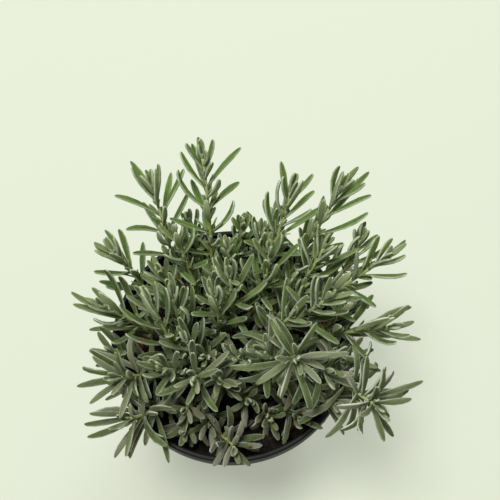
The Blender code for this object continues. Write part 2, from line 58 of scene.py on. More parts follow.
# pot
RIM_RADIUS = 0.060
POT_HEIGHT = 0.095
BASE_RADIUS = 0.0425
WALL = 0.0013
FLOOR = 0.0018
COLLAR_DEPTH = 0.0100
COLLAR_STEP = 0.0014
DRAIN_HOLES = 6
DRAIN_RADIUS = 0.0045
DRAIN_INSET = 0.0095

# soil
SOIL_BELOW_RIM = 0.0150
SOIL_MOUND = 0.0040
SOIL_BUMP = 0.0009
SOIL_WAVES = (210.0, 180.0, 330.0)  # ripples across the soil, in radians per metre

# stems and leaves
STEM_WIDTH = 0.0019
STEM_TIP_WIDTH = 0.0013
STEM_SPAN = 0.010
STEM_BARE = 0.006
STEM_START_LEAN = 0.5  # how far a stem leans towards its tip as it leaves the soil
STEM_START_PULL = 0.38  # shares of the reach over which the stem keeps each end's direction
STEM_TIP_PULL = 0.36
LEAF_BASE = 0.0012
LEAF_WIDTH = 0.0031
LEAF_THICKNESS = 0.0009
LEAF_TIP_WIDTH = 0.0014
LEAF_SAG = 7.0  # degrees of droop for each pair below the tip, on a shoot that spreads by 1
SAG_FROM = 0.80  # the spread at which leaves begin to droop
LIGHT_TURN = 0.80  # share of the turn that would face a blade to the light above
LENGTH_RANGE = (0.80, 1.10)  # how leaves of one pair differ, as shares
WIDTH_RANGE = (0.92, 1.05)
YOUNG_WIDTH = 0.55  # width of the shortest leaves, as a share
LEAN_RANGE = 7  # degrees either way
BEND_RANGE = (-32, 14)
YAW_RANGE = 26
TWIST_RANGE = 25
FIRST_NODE = 0.0009
NODE_STEP = 0.0023
NODE_STEP_GROWTH = 0.00065
NODE_STEP_MAX = 0.0064
SPACING_POWER = 1.0  # a shoot that spreads has its pairs closer together
NODE_GAP_LEAST = 0.0010

# fits
LEAF_CLEARANCE = 0.00035
STEM_TRIALS = 60
LEAF_TRIALS = 30
LEAF_SWING = 0.7  # radians either way, at the last trial
LEAF_SHORTENING = 0.35

# Bark chips: name, bearing, share of the soil's radius, turn, length, width, thickness
BARK_CHIPS = (
    ("bark_chip_left", 172, 0.80, 20, 0.012, 0.006, 0.0022),
    ("bark_chip_back_left", 128, 0.52, 70, 0.010, 0.005, 0.0020),
    ("bark_chip_back", 96, 0.72, 150, 0.013, 0.006, 0.0024),
    ("bark_chip_back_right", 72, 0.88, 15, 0.011, 0.006, 0.0020),
    ("bark_chip_right", 12, 0.86, 95, 0.012, 0.005, 0.0022),
    ("bark_chip_front_left", 216, 0.60, 130, 0.011, 0.006, 0.0022),
    ("bark_chip_front", 262, 0.80, 35, 0.009, 0.005, 0.0018),
    ("bark_chip_front_right", 306, 0.84, 60, 0.012, 0.006, 0.0022),
)

# Shoots: name, foot bearing, foot reach (of the soil's radius), tip bearing, tip reach
# (of the rim's radius), tip height over the rim in mm, bearing and rise of the way the
# tip points, bearing of the top leaf pair, leaf pairs, longest leaf in mm, leaf spread.
SHOOTS = (
    ("shoot_front_tall", 312, 0.30, 318, 0.63, 50, 270, 72, 20, 14, 29, 1.40),
    ("shoot_back_tall", 110, 0.40, 97, 1.06, 75, 96, 52, 5, 11, 24, 0.92),
    ("shoot_back_left", 140, 0.52, 119, 1.10, 58, 108, 48, 0, 10, 27, 1.00),
    ("shoot_back_right", 68, 0.42, 58, 0.99, 62, 72, 50, 10, 10, 25, 0.95),
    ("shoot_right_back", 40, 0.50, 43, 1.24, 58, 50, 42, 330, 10, 29, 0.95),
    ("shoot_right_low", 350, 0.62, 324, 1.29, 36, 300, 62, 30, 14, 28, 1.40),
    ("shoot_right_back_low", 24, 0.68, 28, 1.22, 38, 72, 52, 10, 10, 22, 0.90),
    ("shoot_right_reach", 18, 0.50, 17, 1.30, 41, 24, 36, 300, 11, 25, 0.95),
    ("shoot_right_mid", 0, 0.55, 354, 1.24, 29, 350, 40, 80, 9, 26, 1.00),
    ("shoot_left_reach", 172, 0.62, 169, 0.98, 30, 163, 48, 80, 11, 28, 1.05),
    ("shoot_left_front", 200, 0.68, 203, 0.95, 27, 205, 55, 110, 11, 28, 1.15),
    ("shoot_front_left_low", 222, 0.70, 219, 1.06, 19, 208, 52, 125, 12, 30, 1.35),
    ("shoot_left_tall", 198, 0.46, 171, 0.60, 47, 118, 50, 25, 13, 29, 0.80),
    ("shoot_left_tall_inner", 178, 0.30, 160, 0.46, 42, 98, 58, 60, 12, 26, 0.80),
    ("shoot_middle", 160, 0.12, 130, 0.16, 44, 100, 62, 5, 12, 25, 1.00),
    ("shoot_middle_back", 50, 0.25, 52, 0.54, 52, 84, 62, 350, 12, 25, 0.95),
    ("shoot_middle_right", 330, 0.14, 308, 0.38, 40, 150, 52, 90, 12, 25, 1.05),
    ("shoot_front_left", 232, 0.42, 236, 0.54, 34, 255, 66, 20, 12, 26, 1.20),
    ("shoot_front_middle", 262, 0.40, 256, 0.46, 26, 270, 70, 60, 10, 17, 1.20),
    ("shoot_front_rim", 256, 0.78, 268, 0.92, 9, 270, 60, 15, 9, 20, 1.35),
    ("shoot_front_inner", 292, 0.58, 291, 0.74, 3, 280, 66, 30, 8, 18, 1.25),
    ("shoot_front_soil", 278, 0.46, 280, 0.56, 9, 274, 66, 70, 9, 18, 1.20),
    ("shoot_right_between", 30, 0.34, 32, 0.90, 44, 55, 52, 20, 11, 24, 1.00),
    ("shoot_right_inner", 12, 0.36, 5, 0.76, 44, 20, 54, 280, 11, 24, 1.05),
    ("shoot_back_left_inner", 128, 0.30, 120, 0.76, 48, 108, 58, 350, 11, 20, 1.05),
    ("shoot_back_middle_small", 88, 0.58, 80, 0.80, 37, 90, 60, 0, 9, 14, 1.05),
    ("shoot_back_low_left", 104, 0.74, 108, 0.92, 30, 105, 48, 30, 10, 20, 1.05),
    ("shoot_back_low_right", 62, 0.76, 66, 1.02, 26, 65, 40, 340, 10, 20, 1.05),
    ("shoot_left_back_low", 150, 0.74, 145, 1.08, 34, 138, 44, 60, 11, 24, 1.00),
    ("shoot_left_inner", 150, 0.46, 142, 0.66, 36, 120, 58, 40, 10, 21, 1.05),
    ("shoot_middle_left", 200, 0.22, 206, 0.38, 34, 130, 62, 30, 10, 25, 1.00),
    ("shoot_middle_front", 285, 0.22, 278, 0.30, 30, 262, 72, 45, 10, 19, 1.15),
    ("shoot_right_front_inner", 330, 0.46, 327, 0.86, 34, 308, 62, 60, 11, 25, 1.20),
    ("shoot_right_front_low", 326, 0.80, 320, 1.00, 14, 310, 52, 20, 10, 24, 1.15),
    ("shoot_front_right_low", 306, 0.70, 305, 0.86, 6, 300, 58, 60, 10, 20, 1.20),
    ("shoot_front_left_soil", 250, 0.62, 252, 0.74, 3, 262, 62, 40, 9, 19, 1.20),
    ("shoot_right_rim", 345, 0.78, 342, 1.04, 16, 345, 42, 60, 7, 22, 1.10),
    ("shoot_right_rim_back", 6, 0.80, 8, 1.02, 18, 20, 42, 290, 7, 21, 1.05),
    ("shoot_back_rim_right", 42, 0.78, 40, 1.04, 24, 45, 42, 320, 8, 21, 1.05),
    ("shoot_left_rim", 186, 0.82, 186, 1.00, 14, 185, 42, 100, 10, 20, 1.15),
    ("shoot_left_front_inner", 214, 0.44, 213, 0.64, 32, 195, 62, 60, 10, 22, 1.15),
    ("shoot_front_low", 238, 0.74, 240, 0.84, 5, 250, 60, 10, 9, 17, 1.25),
    ("shoot_middle_high", 80, 0.10, 86, 0.24, 50, 95, 68, 30, 11, 25, 1.05),
    ("shoot_back_inner", 86, 0.34, 88, 0.54, 42, 92, 60, 45, 10, 19, 1.05),
    ("shoot_inner_back_left", 118, 0.18, 104, 0.40, 36, 100, 60, 80, 10, 20, 1.05),
    ("shoot_inner_back_right", 60, 0.52, 66, 0.74, 38, 80, 58, 20, 10, 20, 1.05),
    ("shoot_inner_right", 20, 0.22, 20, 0.60, 32, 40, 58, 60, 10, 25, 1.05),
    ("shoot_inner_front_left", 230, 0.26, 228, 0.34, 26, 240, 66, 80, 10, 19, 1.15),
    ("shoot_front_left_rim", 236, 0.60, 236, 0.72, 12, 240, 60, 70, 9, 20, 1.20),
    ("shoot_right_centre", 350, 0.28, 352, 0.46, 43, 10, 64, 30, 11, 25, 1.10),
)

# Leaf pairs from the tip down: share of the longest leaf, and lean from the stem.
PAIR_LENGTHS = (0.38, 0.56, 0.72, 0.86, 0.95, 1.00, 1.00, 0.98, 0.94, 0.88, 0.82, 0.76, 0.70, 0.64)
PAIR_LEANS = (6, 15, 23, 30, 36, 41, 46, 51, 55, 59, 63, 66, 69, 72)
LEAF_WIDEST = 0.64

SOIL_LEVEL = POT_HEIGHT - SOIL_BELOW_RIM


def polar(bearing, radius, height=0.0):
    angle = math.radians(bearing)
    return Vector((radius * math.cos(angle), radius * math.sin(angle), height))


def soil_reach():
    """Inner radius of the pot where the soil meets it."""
    share = SOIL_LEVEL / (POT_HEIGHT - COLLAR_DEPTH)
    return BASE_RADIUS + (RIM_RADIUS - COLLAR_STEP - BASE_RADIUS) * share - WALL


# ---------------------------------------------------------------- growth of a shoot


def direction(bearing, rise):
    """A unit vector at a bearing and a rise over level, both in degrees."""
    flat = math.cos(math.radians(rise))
    return polar(bearing, flat, math.sin(math.radians(rise)))


def stem_path(foot, tip, pointing, steps=28):
    """Points of a stem that leaves the soil steeply and ends along a given direction."""
    reach = (tip - foot).length
    outward = Vector((tip.x - foot.x, tip.y - foot.y, 0.0))
    start = (UP + outward * (STEM_START_LEAN / reach)).normalized()
    control_a = foot + start * (STEM_START_PULL * reach)
    control_b = tip - pointing * (STEM_TIP_PULL * reach)
    points = []
    for step in range(steps + 1):
        t = step / steps
        s = 1.0 - t
        points.append(foot * s**3 + control_a * (3 * s * s * t)
                      + control_b * (3 * s * t * t) + tip * t**3)
    return points


class Stem:
    """A stem's centre line, measured from the tip down, with a frame that doesn't spin."""

    def __init__(self, path, roll):
        self.points = path[::-1]
        self.reach = [0.0]
        for before, after in zip(self.points, self.points[1:]):
            self.reach.append(self.reach[-1] + (after - before).length)
        self.length = self.reach[-1]
        tangent = (self.points[0] - self.points[1]).normalized()
        side = polar(roll, 1.0)
        side = (side - tangent * side.dot(tangent)).normalized()
        self.frames = [(tangent, side)]
        for index in range(1, len(self.points)):
            before = self.points[index - 1]
            after = self.points[min(index + 1, len(self.points) - 1)]
            tangent = (before - after).normalized()
            side = (side - tangent * side.dot(tangent)).normalized()
            self.frames.append((tangent, side))

    def at(self, distance):
        """Point, tangent towards the tip, and two side axes at a distance below the tip."""
        distance = min(max(distance, 0.0), self.length)
        index = 1
        while index < len(self.reach) - 1 and self.reach[index] < distance:
            index += 1
        span = self.reach[index] - self.reach[index - 1]
        share = (distance - self.reach[index - 1]) / span
        point = self.points[index - 1].lerp(self.points[index], share)
        tangent = self.frames[index - 1][0].lerp(self.frames[index][0], share).normalized()
        side = self.frames[index - 1][1].lerp(self.frames[index][1], share)
        side = (side - tangent * side.dot(tangent)).normalized()
        return point, tangent, side, tangent.cross(side)

    def half_width(self, distance):
        """Half the stem's width, which grows evenly from the tip to the foot."""
        share = min(distance / self.length, 1.0)
        return (STEM_TIP_WIDTH + (STEM_WIDTH - STEM_TIP_WIDTH) * share) / 2


class Leaf:
    """One leaf: an arc in the plane of the stem and the leaf's outward side."""

    def __init__(self, base, tangent, outward, length, width, lean, bend, yaw, twist):
        turn = Quaternion(tangent, yaw)
        self.base = base
        self.tangent = tangent
        self.outward = turn @ outward
        self.length = length
        self.width = width
        self.lean = lean
        self.bend = bend
        self.twist = twist

    def frame(self, share):
        """Centre, width axis, upper side and heading at a share of the length."""
        low = self.lean
        high = self.lean + self.bend * share
        if abs(self.bend) * share < 1e-4:
            along = math.cos(low) * share
            out = math.sin(low) * share
        else:
            along = (math.sin(high) - math.sin(low)) / self.bend
            out = (math.cos(low) - math.cos(high)) / self.bend
        centre = self.base + (self.tangent * along + self.outward * out) * self.length
        heading = self.tangent * math.cos(high) + self.outward * math.sin(high)
        upper = self.tangent * math.sin(high) - self.outward * math.cos(high)
        across = self.tangent.cross(self.outward)
        roll = Quaternion(heading, self.twist * min(share / LEAF_WIDEST, 1.0))
        return centre, roll @ across, roll @ upper, heading

    def turn_to_light(self):
        """Twist the blade part of the way to face up, as leaves do at their foot."""
        _, across, upper, heading = self.frame(LEAF_WIDEST)
        turn = math.atan2(-across.dot(UP), upper.dot(UP))
        self.twist += LIGHT_TURN * turn * heading.cross(UP).length

    def ring(self, share, grow=0.0):
        """Four corners of the blade's section, grown on every side for a clearance test."""
        centre, across, upper, heading = self.frame(share)
        width = self.width if share < 1.0 else LEAF_TIP_WIDTH
        if share == 0.0:
            width = LEAF_BASE
        half = width / 2 + grow
        deep = LEAF_THICKNESS / 2 + grow
        centre = centre + heading * (grow if share == 1.0 else 0.0)
        return [
            centre - across * half - upper * deep,
            centre + across * half - upper * deep,
            centre + across * half + upper * deep,
            centre - across * half + upper * deep,
        ]

    def tip_edge(self):
        """The two ends of the blunt edge that closes the blade."""
        centre, across, _, _ = self.frame(1.0)
        return centre - across * (LEAF_TIP_WIDTH / 2), centre + across * (LEAF_TIP_WIDTH / 2)


def tube_faces(rings):
    """Faces of a closed tube of four-cornered rings, laid one after another."""
    faces = [(3, 2, 1, 0)]
    for ring in range(rings - 1):
        low = 4 * ring
        for corner in range(4):
            after = (corner + 1) % 4
            faces.append((low + corner, low + after, low + 4 + after, low + 4 + corner))
    last = 4 * (rings - 1)
    faces.append((last, last + 1, last + 2, last + 3))
    return faces


class Solid:
    """A closed shape for clearance tests: its box and its search tree.

    A twisted four-cornered face can be split along either diagonal, so both are tested.
    """

    def __init__(self, vertices, faces):
        triangles = []
        for face in faces:
            if len(face) == 4:
                a, b, c, d = face
                triangles += [(a, b, c), (c, d, a), (b, c, d), (d, a, b)]
            else:
                triangles.append(face)
        self.tree = BVHTree.FromPolygons(vertices, triangles)
        self.low = [min(v[axis] for v in vertices) for axis in range(3)]
        self.high = [max(v[axis] for v in vertices) for axis in range(3)]

    def meets(self, other):
        """Whether two shapes touch: their boxes first, then their faces."""
        for axis in range(3):
            if self.low[axis] > other.high[axis] or other.low[axis] > self.high[axis]:
                return False
        return bool(self.tree.overlap(other.tree))


def leaf_solid(leaf, start, grow):
    """A leaf as a shape for clearance tests, grown on every side."""
    shares = (start, LEAF_WIDEST, 1.0)
    vertices = [corner for share in shares for corner in leaf.ring(share, grow)]
    return Solid(vertices, tube_faces(len(shares)))


def stem_ring(stem, distance, grow=0.0):
    """Four corners of the square stem; the lowest ring is level, to stand on the soil."""
    point, _, side, across = stem.at(distance)
    half = stem.half_width(distance) + grow
    corners = [
        point + (side + across) * half,
        point + (across - side) * half,
        point - (side + across) * half,
        point + (side - across) * half,
    ]
    if distance >= stem.length:
        for corner in corners:
            corner.z = point.z
    return corners


def stem_solid(stem, grow):
    """A stem as a shape for clearance tests, grown on every side."""
    count = 9
    distances = [stem.length * (1 - index / (count - 1)) for index in range(count)]
    vertices = [corner for d in distances for corner in stem_ring(stem, d, grow)]
    return Solid(vertices, tube_faces(count))


def node_places(pairs, spread, room):
    """Distances of the leaf pairs below the tip, closer together towards it."""
    scale = spread ** -SPACING_POWER
    places = [FIRST_NODE]
    step = NODE_STEP
    while len(places) < pairs and places[-1] + step * scale < room:
        places.append(places[-1] + step * scale)
        step = min(step + NODE_STEP_GROWTH, NODE_STEP_MAX)
    return places


def highest_ground(place, reach, ground):
    """Highest point of the soil within a small square around a place."""
    heights = []
    for row in range(-3, 4):
        for column in range(-3, 4):
            start = Vector((place.x + reach * row / 3, place.y + reach * column / 3, POT_HEIGHT))
            heights.append(ground.ray_cast(start, -UP)[0].z)
    return max(heights)


def place_stem(spec, obstacles, ground):
    """The stem of a shoot, moved a little if it would touch another stem."""
    _, foot_bearing, foot_reach, bearing, reach, height, heading, rise, roll = spec[:9]
    luck = random.Random(spec[0])
    for trial in range(STEM_TRIALS):
        loose = trial * 0.25
        foot = polar(foot_bearing + loose * luck.uniform(-3, 3),
                     soil_reach() * (foot_reach + loose * luck.uniform(-0.01, 0.01)))
        foot.z = FIT + highest_ground(foot, STEM_WIDTH, ground)
        tip = polar(bearing + loose * luck.uniform(-1, 1), RIM_RADIUS * reach,
                    POT_HEIGHT + height * 0.001)
        stem = Stem(stem_path(foot, tip, direction(heading, rise)), roll)
        tested = stem_solid(stem, LEAF_CLEARANCE)
        if not any(tested.meets(other) for other in obstacles):
            return stem
    return None


def place_leaf(stem, spec, pair, distance, side_sign, obstacles, own):
    """One leaf, turned or shortened a little where it would touch something."""
    longest, spread = spec[10] * 0.001, spec[11]
    luck = random.Random(f"{spec[0]}/{pair}/{side_sign}")
    point, tangent, side, across = stem.at(distance)
    axis = side if pair % 2 == 0 else across
    outward = axis * side_sign
    base = point + outward * stem.half_width(distance)
    length = longest * PAIR_LENGTHS[pair] * luck.uniform(*LENGTH_RANGE)
    width = YOUNG_WIDTH + (1.0 - YOUNG_WIDTH) * PAIR_LENGTHS[pair]
    width *= LEAF_WIDTH * luck.uniform(*WIDTH_RANGE)
    lean = math.radians(PAIR_LEANS[pair] * spread + luck.uniform(-LEAN_RANGE, LEAN_RANGE))
    bend = math.radians(luck.uniform(*BEND_RANGE) + LEAF_SAG * pair * (spread - SAG_FROM))
    yaw = math.radians(luck.uniform(-YAW_RANGE, YAW_RANGE))
    twist = math.radians(luck.uniform(-TWIST_RANGE, TWIST_RANGE))
    for trial in range(LEAF_TRIALS):
        loose = trial / LEAF_TRIALS
        shorter = 1.0 - LEAF_SHORTENING * loose * luck.random()
        swing = [loose * luck.uniform(-LEAF_SWING, LEAF_SWING) for _ in range(4)]
        if pair == 0:
            swing[0] = 0.0
        leaf = Leaf(base, tangent, outward, length * shorter, width,
                    lean + swing[0], bend + swing[1], yaw + swing[2], twist + swing[3])
        leaf.turn_to_light()
        whole = leaf_solid(leaf, 0.02, LEAF_CLEARANCE)
        if any(whole.meets(other) for other in obstacles):
            continue
        outer = leaf_solid(leaf, 0.22, LEAF_CLEARANCE / 3)
        if not any(outer.meets(other) for other in own):
            return leaf
    return None


def grow_shoots(fixed, ground):
    """Every shoot's stem and leaves, each clear of the others: stems first, then leaves."""
    stems = []
    for spec in SHOOTS:
        stem = place_stem(spec, fixed + [solid for _, _, solid in stems], ground)
        if stem:
            stems.append((spec, stem, stem_solid(stem, 0.0)))
    grown = []
    finished = []
    for index, (spec, stem, solid) in enumerate(stems):
        waiting = [other for _, _, other in stems[index + 1:]]
        obstacles = fixed + finished + waiting
        own = [solid]
        leaves = []
        for pair, distance in enumerate(node_places(spec[9], spec[11], stem.length - STEM_BARE)):
            found = {}
            for side_sign in (1, -1):
                leaf = place_leaf(stem, spec, pair, distance, side_sign, obstacles, own)
                if leaf:
                    found[side_sign] = leaf
                    own.append(leaf_solid(leaf, 0.12, 0.0))
            leaves.append((distance, found))
        vertices, faces = shoot_mesh(stem, leaves)
        finished.append(Solid(vertices, faces))
        grown.append((spec, stem, leaves, vertices, faces))
    return grown


def stem_breaks(stem, leaves):
    """Rings of the stem, as distances below the tip, with the pair that grows above each.

    Each pair fills a short length of stem. Close pairs share a ring, and the bare stem
    below them is divided evenly.
    """
    breaks = []
    for pair, (distance, found) in enumerate(leaves):
        high = distance - LEAF_BASE / 2
        if breaks and high - breaks[-1][0] < NODE_GAP_LEAST:
            breaks[-1][0] = (breaks[-1][0] + high) / 2
        else:
            breaks.append([high, 0, {}])
        breaks.append([distance + LEAF_BASE / 2, pair, found])
    lowest = breaks[-1][0]
    spans = max(1, round((stem.length - lowest) / STEM_SPAN))
    for span in range(1, spans + 1):
        breaks.append([lowest + (stem.length - lowest) * span / spans, 0, {}])
    return breaks[::-1]


def shoot_mesh(stem, leaves):
    """One closed mesh: a square stem whose side faces are drawn out into the leaves."""
    breaks = stem_breaks(stem, leaves)
    vertices = [corner for distance, _, _ in breaks for corner in stem_ring(stem, distance)]
    faces = [(3, 2, 1, 0)]
    for ring, (_, pair, found) in enumerate(breaks[:-1]):
        low = 4 * ring
        for corner in range(4):
            after = (corner + 1) % 4
            loop = (low + corner, low + after, low + 4 + after, low + 4 + corner)
            on_leaf_side = corner % 2 != pair % 2
            leaf = found.get(1 if corner in (0, 3) else -1) if on_leaf_side else None
            if leaf:
                draw_out_leaf(vertices, faces, loop, leaf)
            else:
                faces.append(loop)
    last = 4 * (len(breaks) - 1)
    faces.append((last, last + 1, last + 2, last + 3))
    return vertices, faces


def draw_out_leaf(vertices, faces, loop, leaf):
    """Add a blade that grows from a side face of the stem and ends in a blunt edge."""
    start = len(vertices)
    vertices += leaf.ring(LEAF_WIDEST)
    wide = tuple(range(start, start + 4))
    for edge in range(4):
        after = (edge + 1) % 4
        faces.append((loop[edge], loop[after], wide[after], wide[edge]))
    left, right = leaf.tip_edge()
    vertices += [left, right]
    left, right = start + 4, start + 5
    faces.append((wide[0], wide[1], right, left))
    faces.append((wide[1], wide[2], right))
    faces.append((wide[2], wide[3], left, right))
    faces.append((wide[3], wide[0], left))


# ---------------------------------------------------------------- mesh from arrays


def make_piece(name, points, quads, tris, material, corner_uv=None, tone=None):
    """A mesh object from whole arrays: points, four- and three-cornered faces."""
    mesh = bpy.data.meshes.new(name)
    corners = np.concatenate([quads.ravel(), tris.ravel()]).astype(np.int32)
    starts = np.concatenate([
        np.arange(len(quads)) * 4,
        len(quads) * 4 + np.arange(len(tris)) * 3]).astype(np.int32)
    mesh.vertices.add(len(points))
    mesh.vertices.foreach_set("co", np.ascontiguousarray(points, np.float32).ravel())
    mesh.loops.add(len(corners))
    mesh.loops.foreach_set("vertex_index", corners)
    mesh.polygons.add(len(starts))
    mesh.polygons.foreach_set("loop_start", starts)
    mesh.update(calc_edges=True)
    mesh.polygons.foreach_set("use_smooth", np.ones(len(starts), bool))
    if corner_uv is not None:
        layer = mesh.uv_layers.new(name="blade")
        layer.uv.foreach_set("vector", np.ascontiguousarray(corner_uv, np.float32).ravel())
    if tone is not None:
        layer = mesh.color_attributes.new(name="tone", type="FLOAT_COLOR", domain="POINT")
        rgba = np.concatenate([tone, np.ones((len(tone), 1))], axis=1)
        layer.data.foreach_set("color", rgba.astype(np.float32).ravel())
    mesh.materials.append(material)
    piece = bpy.data.objects.new(name, mesh)
    bpy.context.scene.collection.objects.link(piece)
    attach(piece, "root")
    return piece


def ring_faces(rings, around):
    """Corner numbers of a closed tube of rings with a pole at each end.

    Point order: every ring in turn, then the first pole, then the last one.
    """
    ring, step = np.meshgrid(np.arange(rings - 1), np.arange(around), indexing="ij")
    after = (step + 1) % around
    quads = np.stack([ring * around + step, ring * around + after,
                      (ring + 1) * around + after, (ring + 1) * around + step], axis=-1)
    side = np.arange(around)
    ahead = (side + 1) % around
    first = np.full(around, rings * around)
    last = first + 1
    low = np.stack([ahead, side, first], axis=-1)
    high = np.stack([side + (rings - 1) * around, ahead + (rings - 1) * around, last], axis=-1)
    return quads.reshape(-1, 4), np.concatenate([low, high])


def ring_uv(along, across):
    """Corner UVs that go with ring_faces: across the blade's section, and along it."""
    rings, around = len(along), len(across) - 1
    ring, step = np.meshgrid(np.arange(rings - 1), np.arange(around), indexing="ij")
    u = np.stack([across[step], across[step + 1], across[step + 1], across[step]], axis=-1)
    v = np.stack([along[ring], along[ring], along[ring + 1], along[ring + 1]], axis=-1)
    quads = np.stack([u, v], axis=-1).reshape(-1, 2)
    side = np.arange(around)
    middle = (across[side] + across[side + 1]) / 2
    low = np.stack([across[side + 1], across[side], middle], axis=-1)
    low = np.stack([low, np.full_like(low, along[0])], axis=-1).reshape(-1, 2)
    high = np.stack([across[side], across[side + 1], middle], axis=-1)
    level = np.stack([np.full(around, along[-1]), np.full(around, along[-1]), np.ones(around)], axis=-1)
    high = np.stack([high, level], axis=-1).reshape(-1, 2)
    return quads, np.concatenate([low, high])


# ---------------------------------------------------------------- leaves

# Sections of a blade, anticlockwise seen from its tip, in half widths and thicknesses,
# with the share of the way round: rolled margins at 0, 0.5 and 1, midrib under at 0.25
# and the groove on top at 0.75.
FULL_SECTION = np.array([
    (-1.00, -0.25, 0.000), (-0.66, -0.72, 0.125), (0.00, -0.30, 0.250), (0.66, -0.72, 0.375),
    (1.00, -0.25, 0.500), (0.62, 0.46, 0.625), (0.00, -0.04, 0.750), (-0.62, 0.46, 0.875)])
SMALL_SECTION = np.array([
    (-1.00, -0.20, 0.00), (0.00, -0.45, 0.25), (1.00, -0.20, 0.50),
    (0.58, 0.42, 0.66), (0.00, 0.10, 0.75), (-0.58, 0.42, 0.84)])
FULL_STATIONS = np.array([0, 4, 10, 17, 24, 29, 31])
SMALL_STATIONS = np.array([0, 9, 19, 28])
FINE = 32


def blade_width(share):
    """Half width along a blade: narrow at the foot, widest past the middle, a round tip.

    It rises as a sine to the power 1.5 up to share 0.62, then falls as (1 - u^2.6)^0.6.
    """
    foot = 0.30 + 0.70 * np.sin(np.clip(share / 0.62, 0, 1) * math.pi / 2) ** 1.5
    tip = np.clip(1 - (np.clip(share - 0.62, 0, 1) / 0.385) ** 2.6, 0, 1) ** 0.6
    return foot * tip


def blade_points(rows, stations, section):
    """Closed blades, one for each row: a section carried along a curved midline.

    The midline turns away from the stem by lean + bend * s + hook * s^3 and drifts
    sideways by sway * s^2; the section rolls by twist on the way to its widest place.
    """
    share = np.arange(FINE + 1) / FINE
    angle = rows["lean"][:, None] + rows["bend"][:, None] * share + rows["hook"][:, None] * share**3
    middle = (angle[:, 1:] + angle[:, :-1]) / 2
    zero = np.zeros((len(angle), 1))
    along = np.concatenate([zero, np.cumsum(np.cos(middle), axis=1)], axis=1) / FINE
    out = np.concatenate([zero, np.cumsum(np.sin(middle), axis=1)], axis=1) / FINE
    stem, outward = rows["tangent"][:, None, :], rows["outward"][:, None, :]
    across = np.cross(stem, outward)
    length = rows["length"][:, None, None]
    sway = rows["sway"][:, None, None] * share[None, :, None] ** 2
    centre = rows["base"][:, None, :] + length * (
        stem * along[..., None] + outward * out[..., None] + across * sway)
    upper = stem * np.sin(angle)[..., None] - outward * np.cos(angle)[..., None]
    roll = rows["twist"][:, None] * np.clip(share / LEAF_WIDEST, 0, 1)
    cos, sin = np.cos(roll)[..., None], np.sin(roll)[..., None]
    side = across * cos + upper * sin
    top = upper * cos - across * sin
    half = rows["width"][:, None] / 2 * blade_width(share)
    deep = rows["thick"][:, None] * (0.45 + 0.55 * blade_width(share))
    centre_s, side_s, top_s = centre[:, stations], side[:, stations], top[:, stations]
    half_s, deep_s = half[:, stations], deep[:, stations]
    rings = (
        centre_s[:, :, None, :]
        + side_s[:, :, None, :] * (half_s[:, :, None] * section[:, 0])[..., None]
        + top_s[:, :, None, :] * (deep_s[:, :, None] * section[:, 1])[..., None])
    count = len(angle)
    poles = np.stack([centre[:, 0], centre[:, -1]], axis=1)
    return np.concatenate([rings.reshape(count, -1, 3), poles], axis=1)


def gather(rows):
    """A list of leaves, each a dict of numbers, as one dict of arrays."""
    return {key: np.array([row[key] for row in rows], float) for key in rows[0]}


def blades(rows, stations, section):
    """Points, faces, UVs and tones of many blades, ready to join with others."""
    table = gather(rows)
    points = blade_points(table, stations, section)
    count, each = points.shape[:2]
    quads, tris = ring_faces(len(stations), len(section))
    first = (np.arange(count) * each)[:, None, None]
    across = np.append(section[:, 2], 1.0)
    quad_uv, tri_uv = ring_uv(stations / FINE, across)
    tone = np.stack([table["luck"], table["youth"], table["silver_and_front_shade"]], axis=-1)
    return (points.reshape(-1, 3), (quads + first).reshape(-1, 4), (tris + first).reshape(-1, 3),
            np.tile(quad_uv, (count, 1)), np.tile(tri_uv, (count, 1)), np.repeat(tone, each, axis=0))


def join(parts):
    """Several sets of points and faces as one."""
    starts = np.cumsum([0] + [len(part[0]) for part in parts])
    points = np.concatenate([part[0] for part in parts])
    quads = np.concatenate([part[1] + start for part, start in zip(parts, starts)])
    tris = np.concatenate([part[2] + start for part, start in zip(parts, starts)])
    uv = np.concatenate([part[3] for part in parts] + [part[4] for part in parts])
    tone = np.concatenate([part[5] for part in parts])
    return points, quads, tris, uv, tone


# ---------------------------------------------------------------- stems

STEM_SECTION = np.array([
    (1.00, 0.55), (0.55, 1.00), (-0.55, 1.00), (-1.00, 0.55),
    (-1.00, -0.55), (-0.55, -1.00), (0.55, -1.00), (1.00, -0.55)])
STEM_RING_STEP = 0.0016
NODE_SWELL = 0.22
NODE_SWELL_REACH = 0.0009
ROOTED_DEPTH = 0.003


def stem_blade(stem, node_distances, silver_and_front_shade):
    """A square stem with soft corners, a little thicker at each node, sunk in the soil."""
    rings = max(8, int(stem.length / STEM_RING_STEP))
    distances = np.linspace(stem.length, 0.0004, rings)
    places = [stem.at(d) for d in distances]
    centre = np.array([place[0] for place in places])
    side = np.array([place[2] for place in places])
    across = np.array([place[3] for place in places])
    half = np.array([stem.half_width(d) for d in distances]) * 0.92
    gap = distances[:, None] - np.array(node_distances)[None, :]
    half = half * (1 + NODE_SWELL * np.exp(-(gap / NODE_SWELL_REACH) ** 2).max(axis=1))
    centre[0, 2] -= ROOTED_DEPTH
    points = (
        centre[:, None, :]
        + side[:, None, :] * (half[:, None] * STEM_SECTION[:, 0])[..., None]
        + across[:, None, :] * (half[:, None] * STEM_SECTION[:, 1])[..., None])
    points = np.concatenate([points.reshape(-1, 3), centre[:1], centre[-1:]])
    quads, tris = ring_faces(rings, len(STEM_SECTION))
    # A stem's UVs lie outside the blades' square, at 2 and up, so the finish can tell them.
    along = 1 - distances / stem.length
    quad_uv, tri_uv = ring_uv(along, np.linspace(0, 1, len(STEM_SECTION) + 1))
    quad_uv[:, 0] += 2.0
    tri_uv[:, 0] += 2.0
    tone = np.tile((0.5, 0.0, silver_and_front_shade), (len(points), 1))
    return points, quads, tris, quad_uv, tri_uv, tone


# ---------------------------------------------------------------- a whole shoot

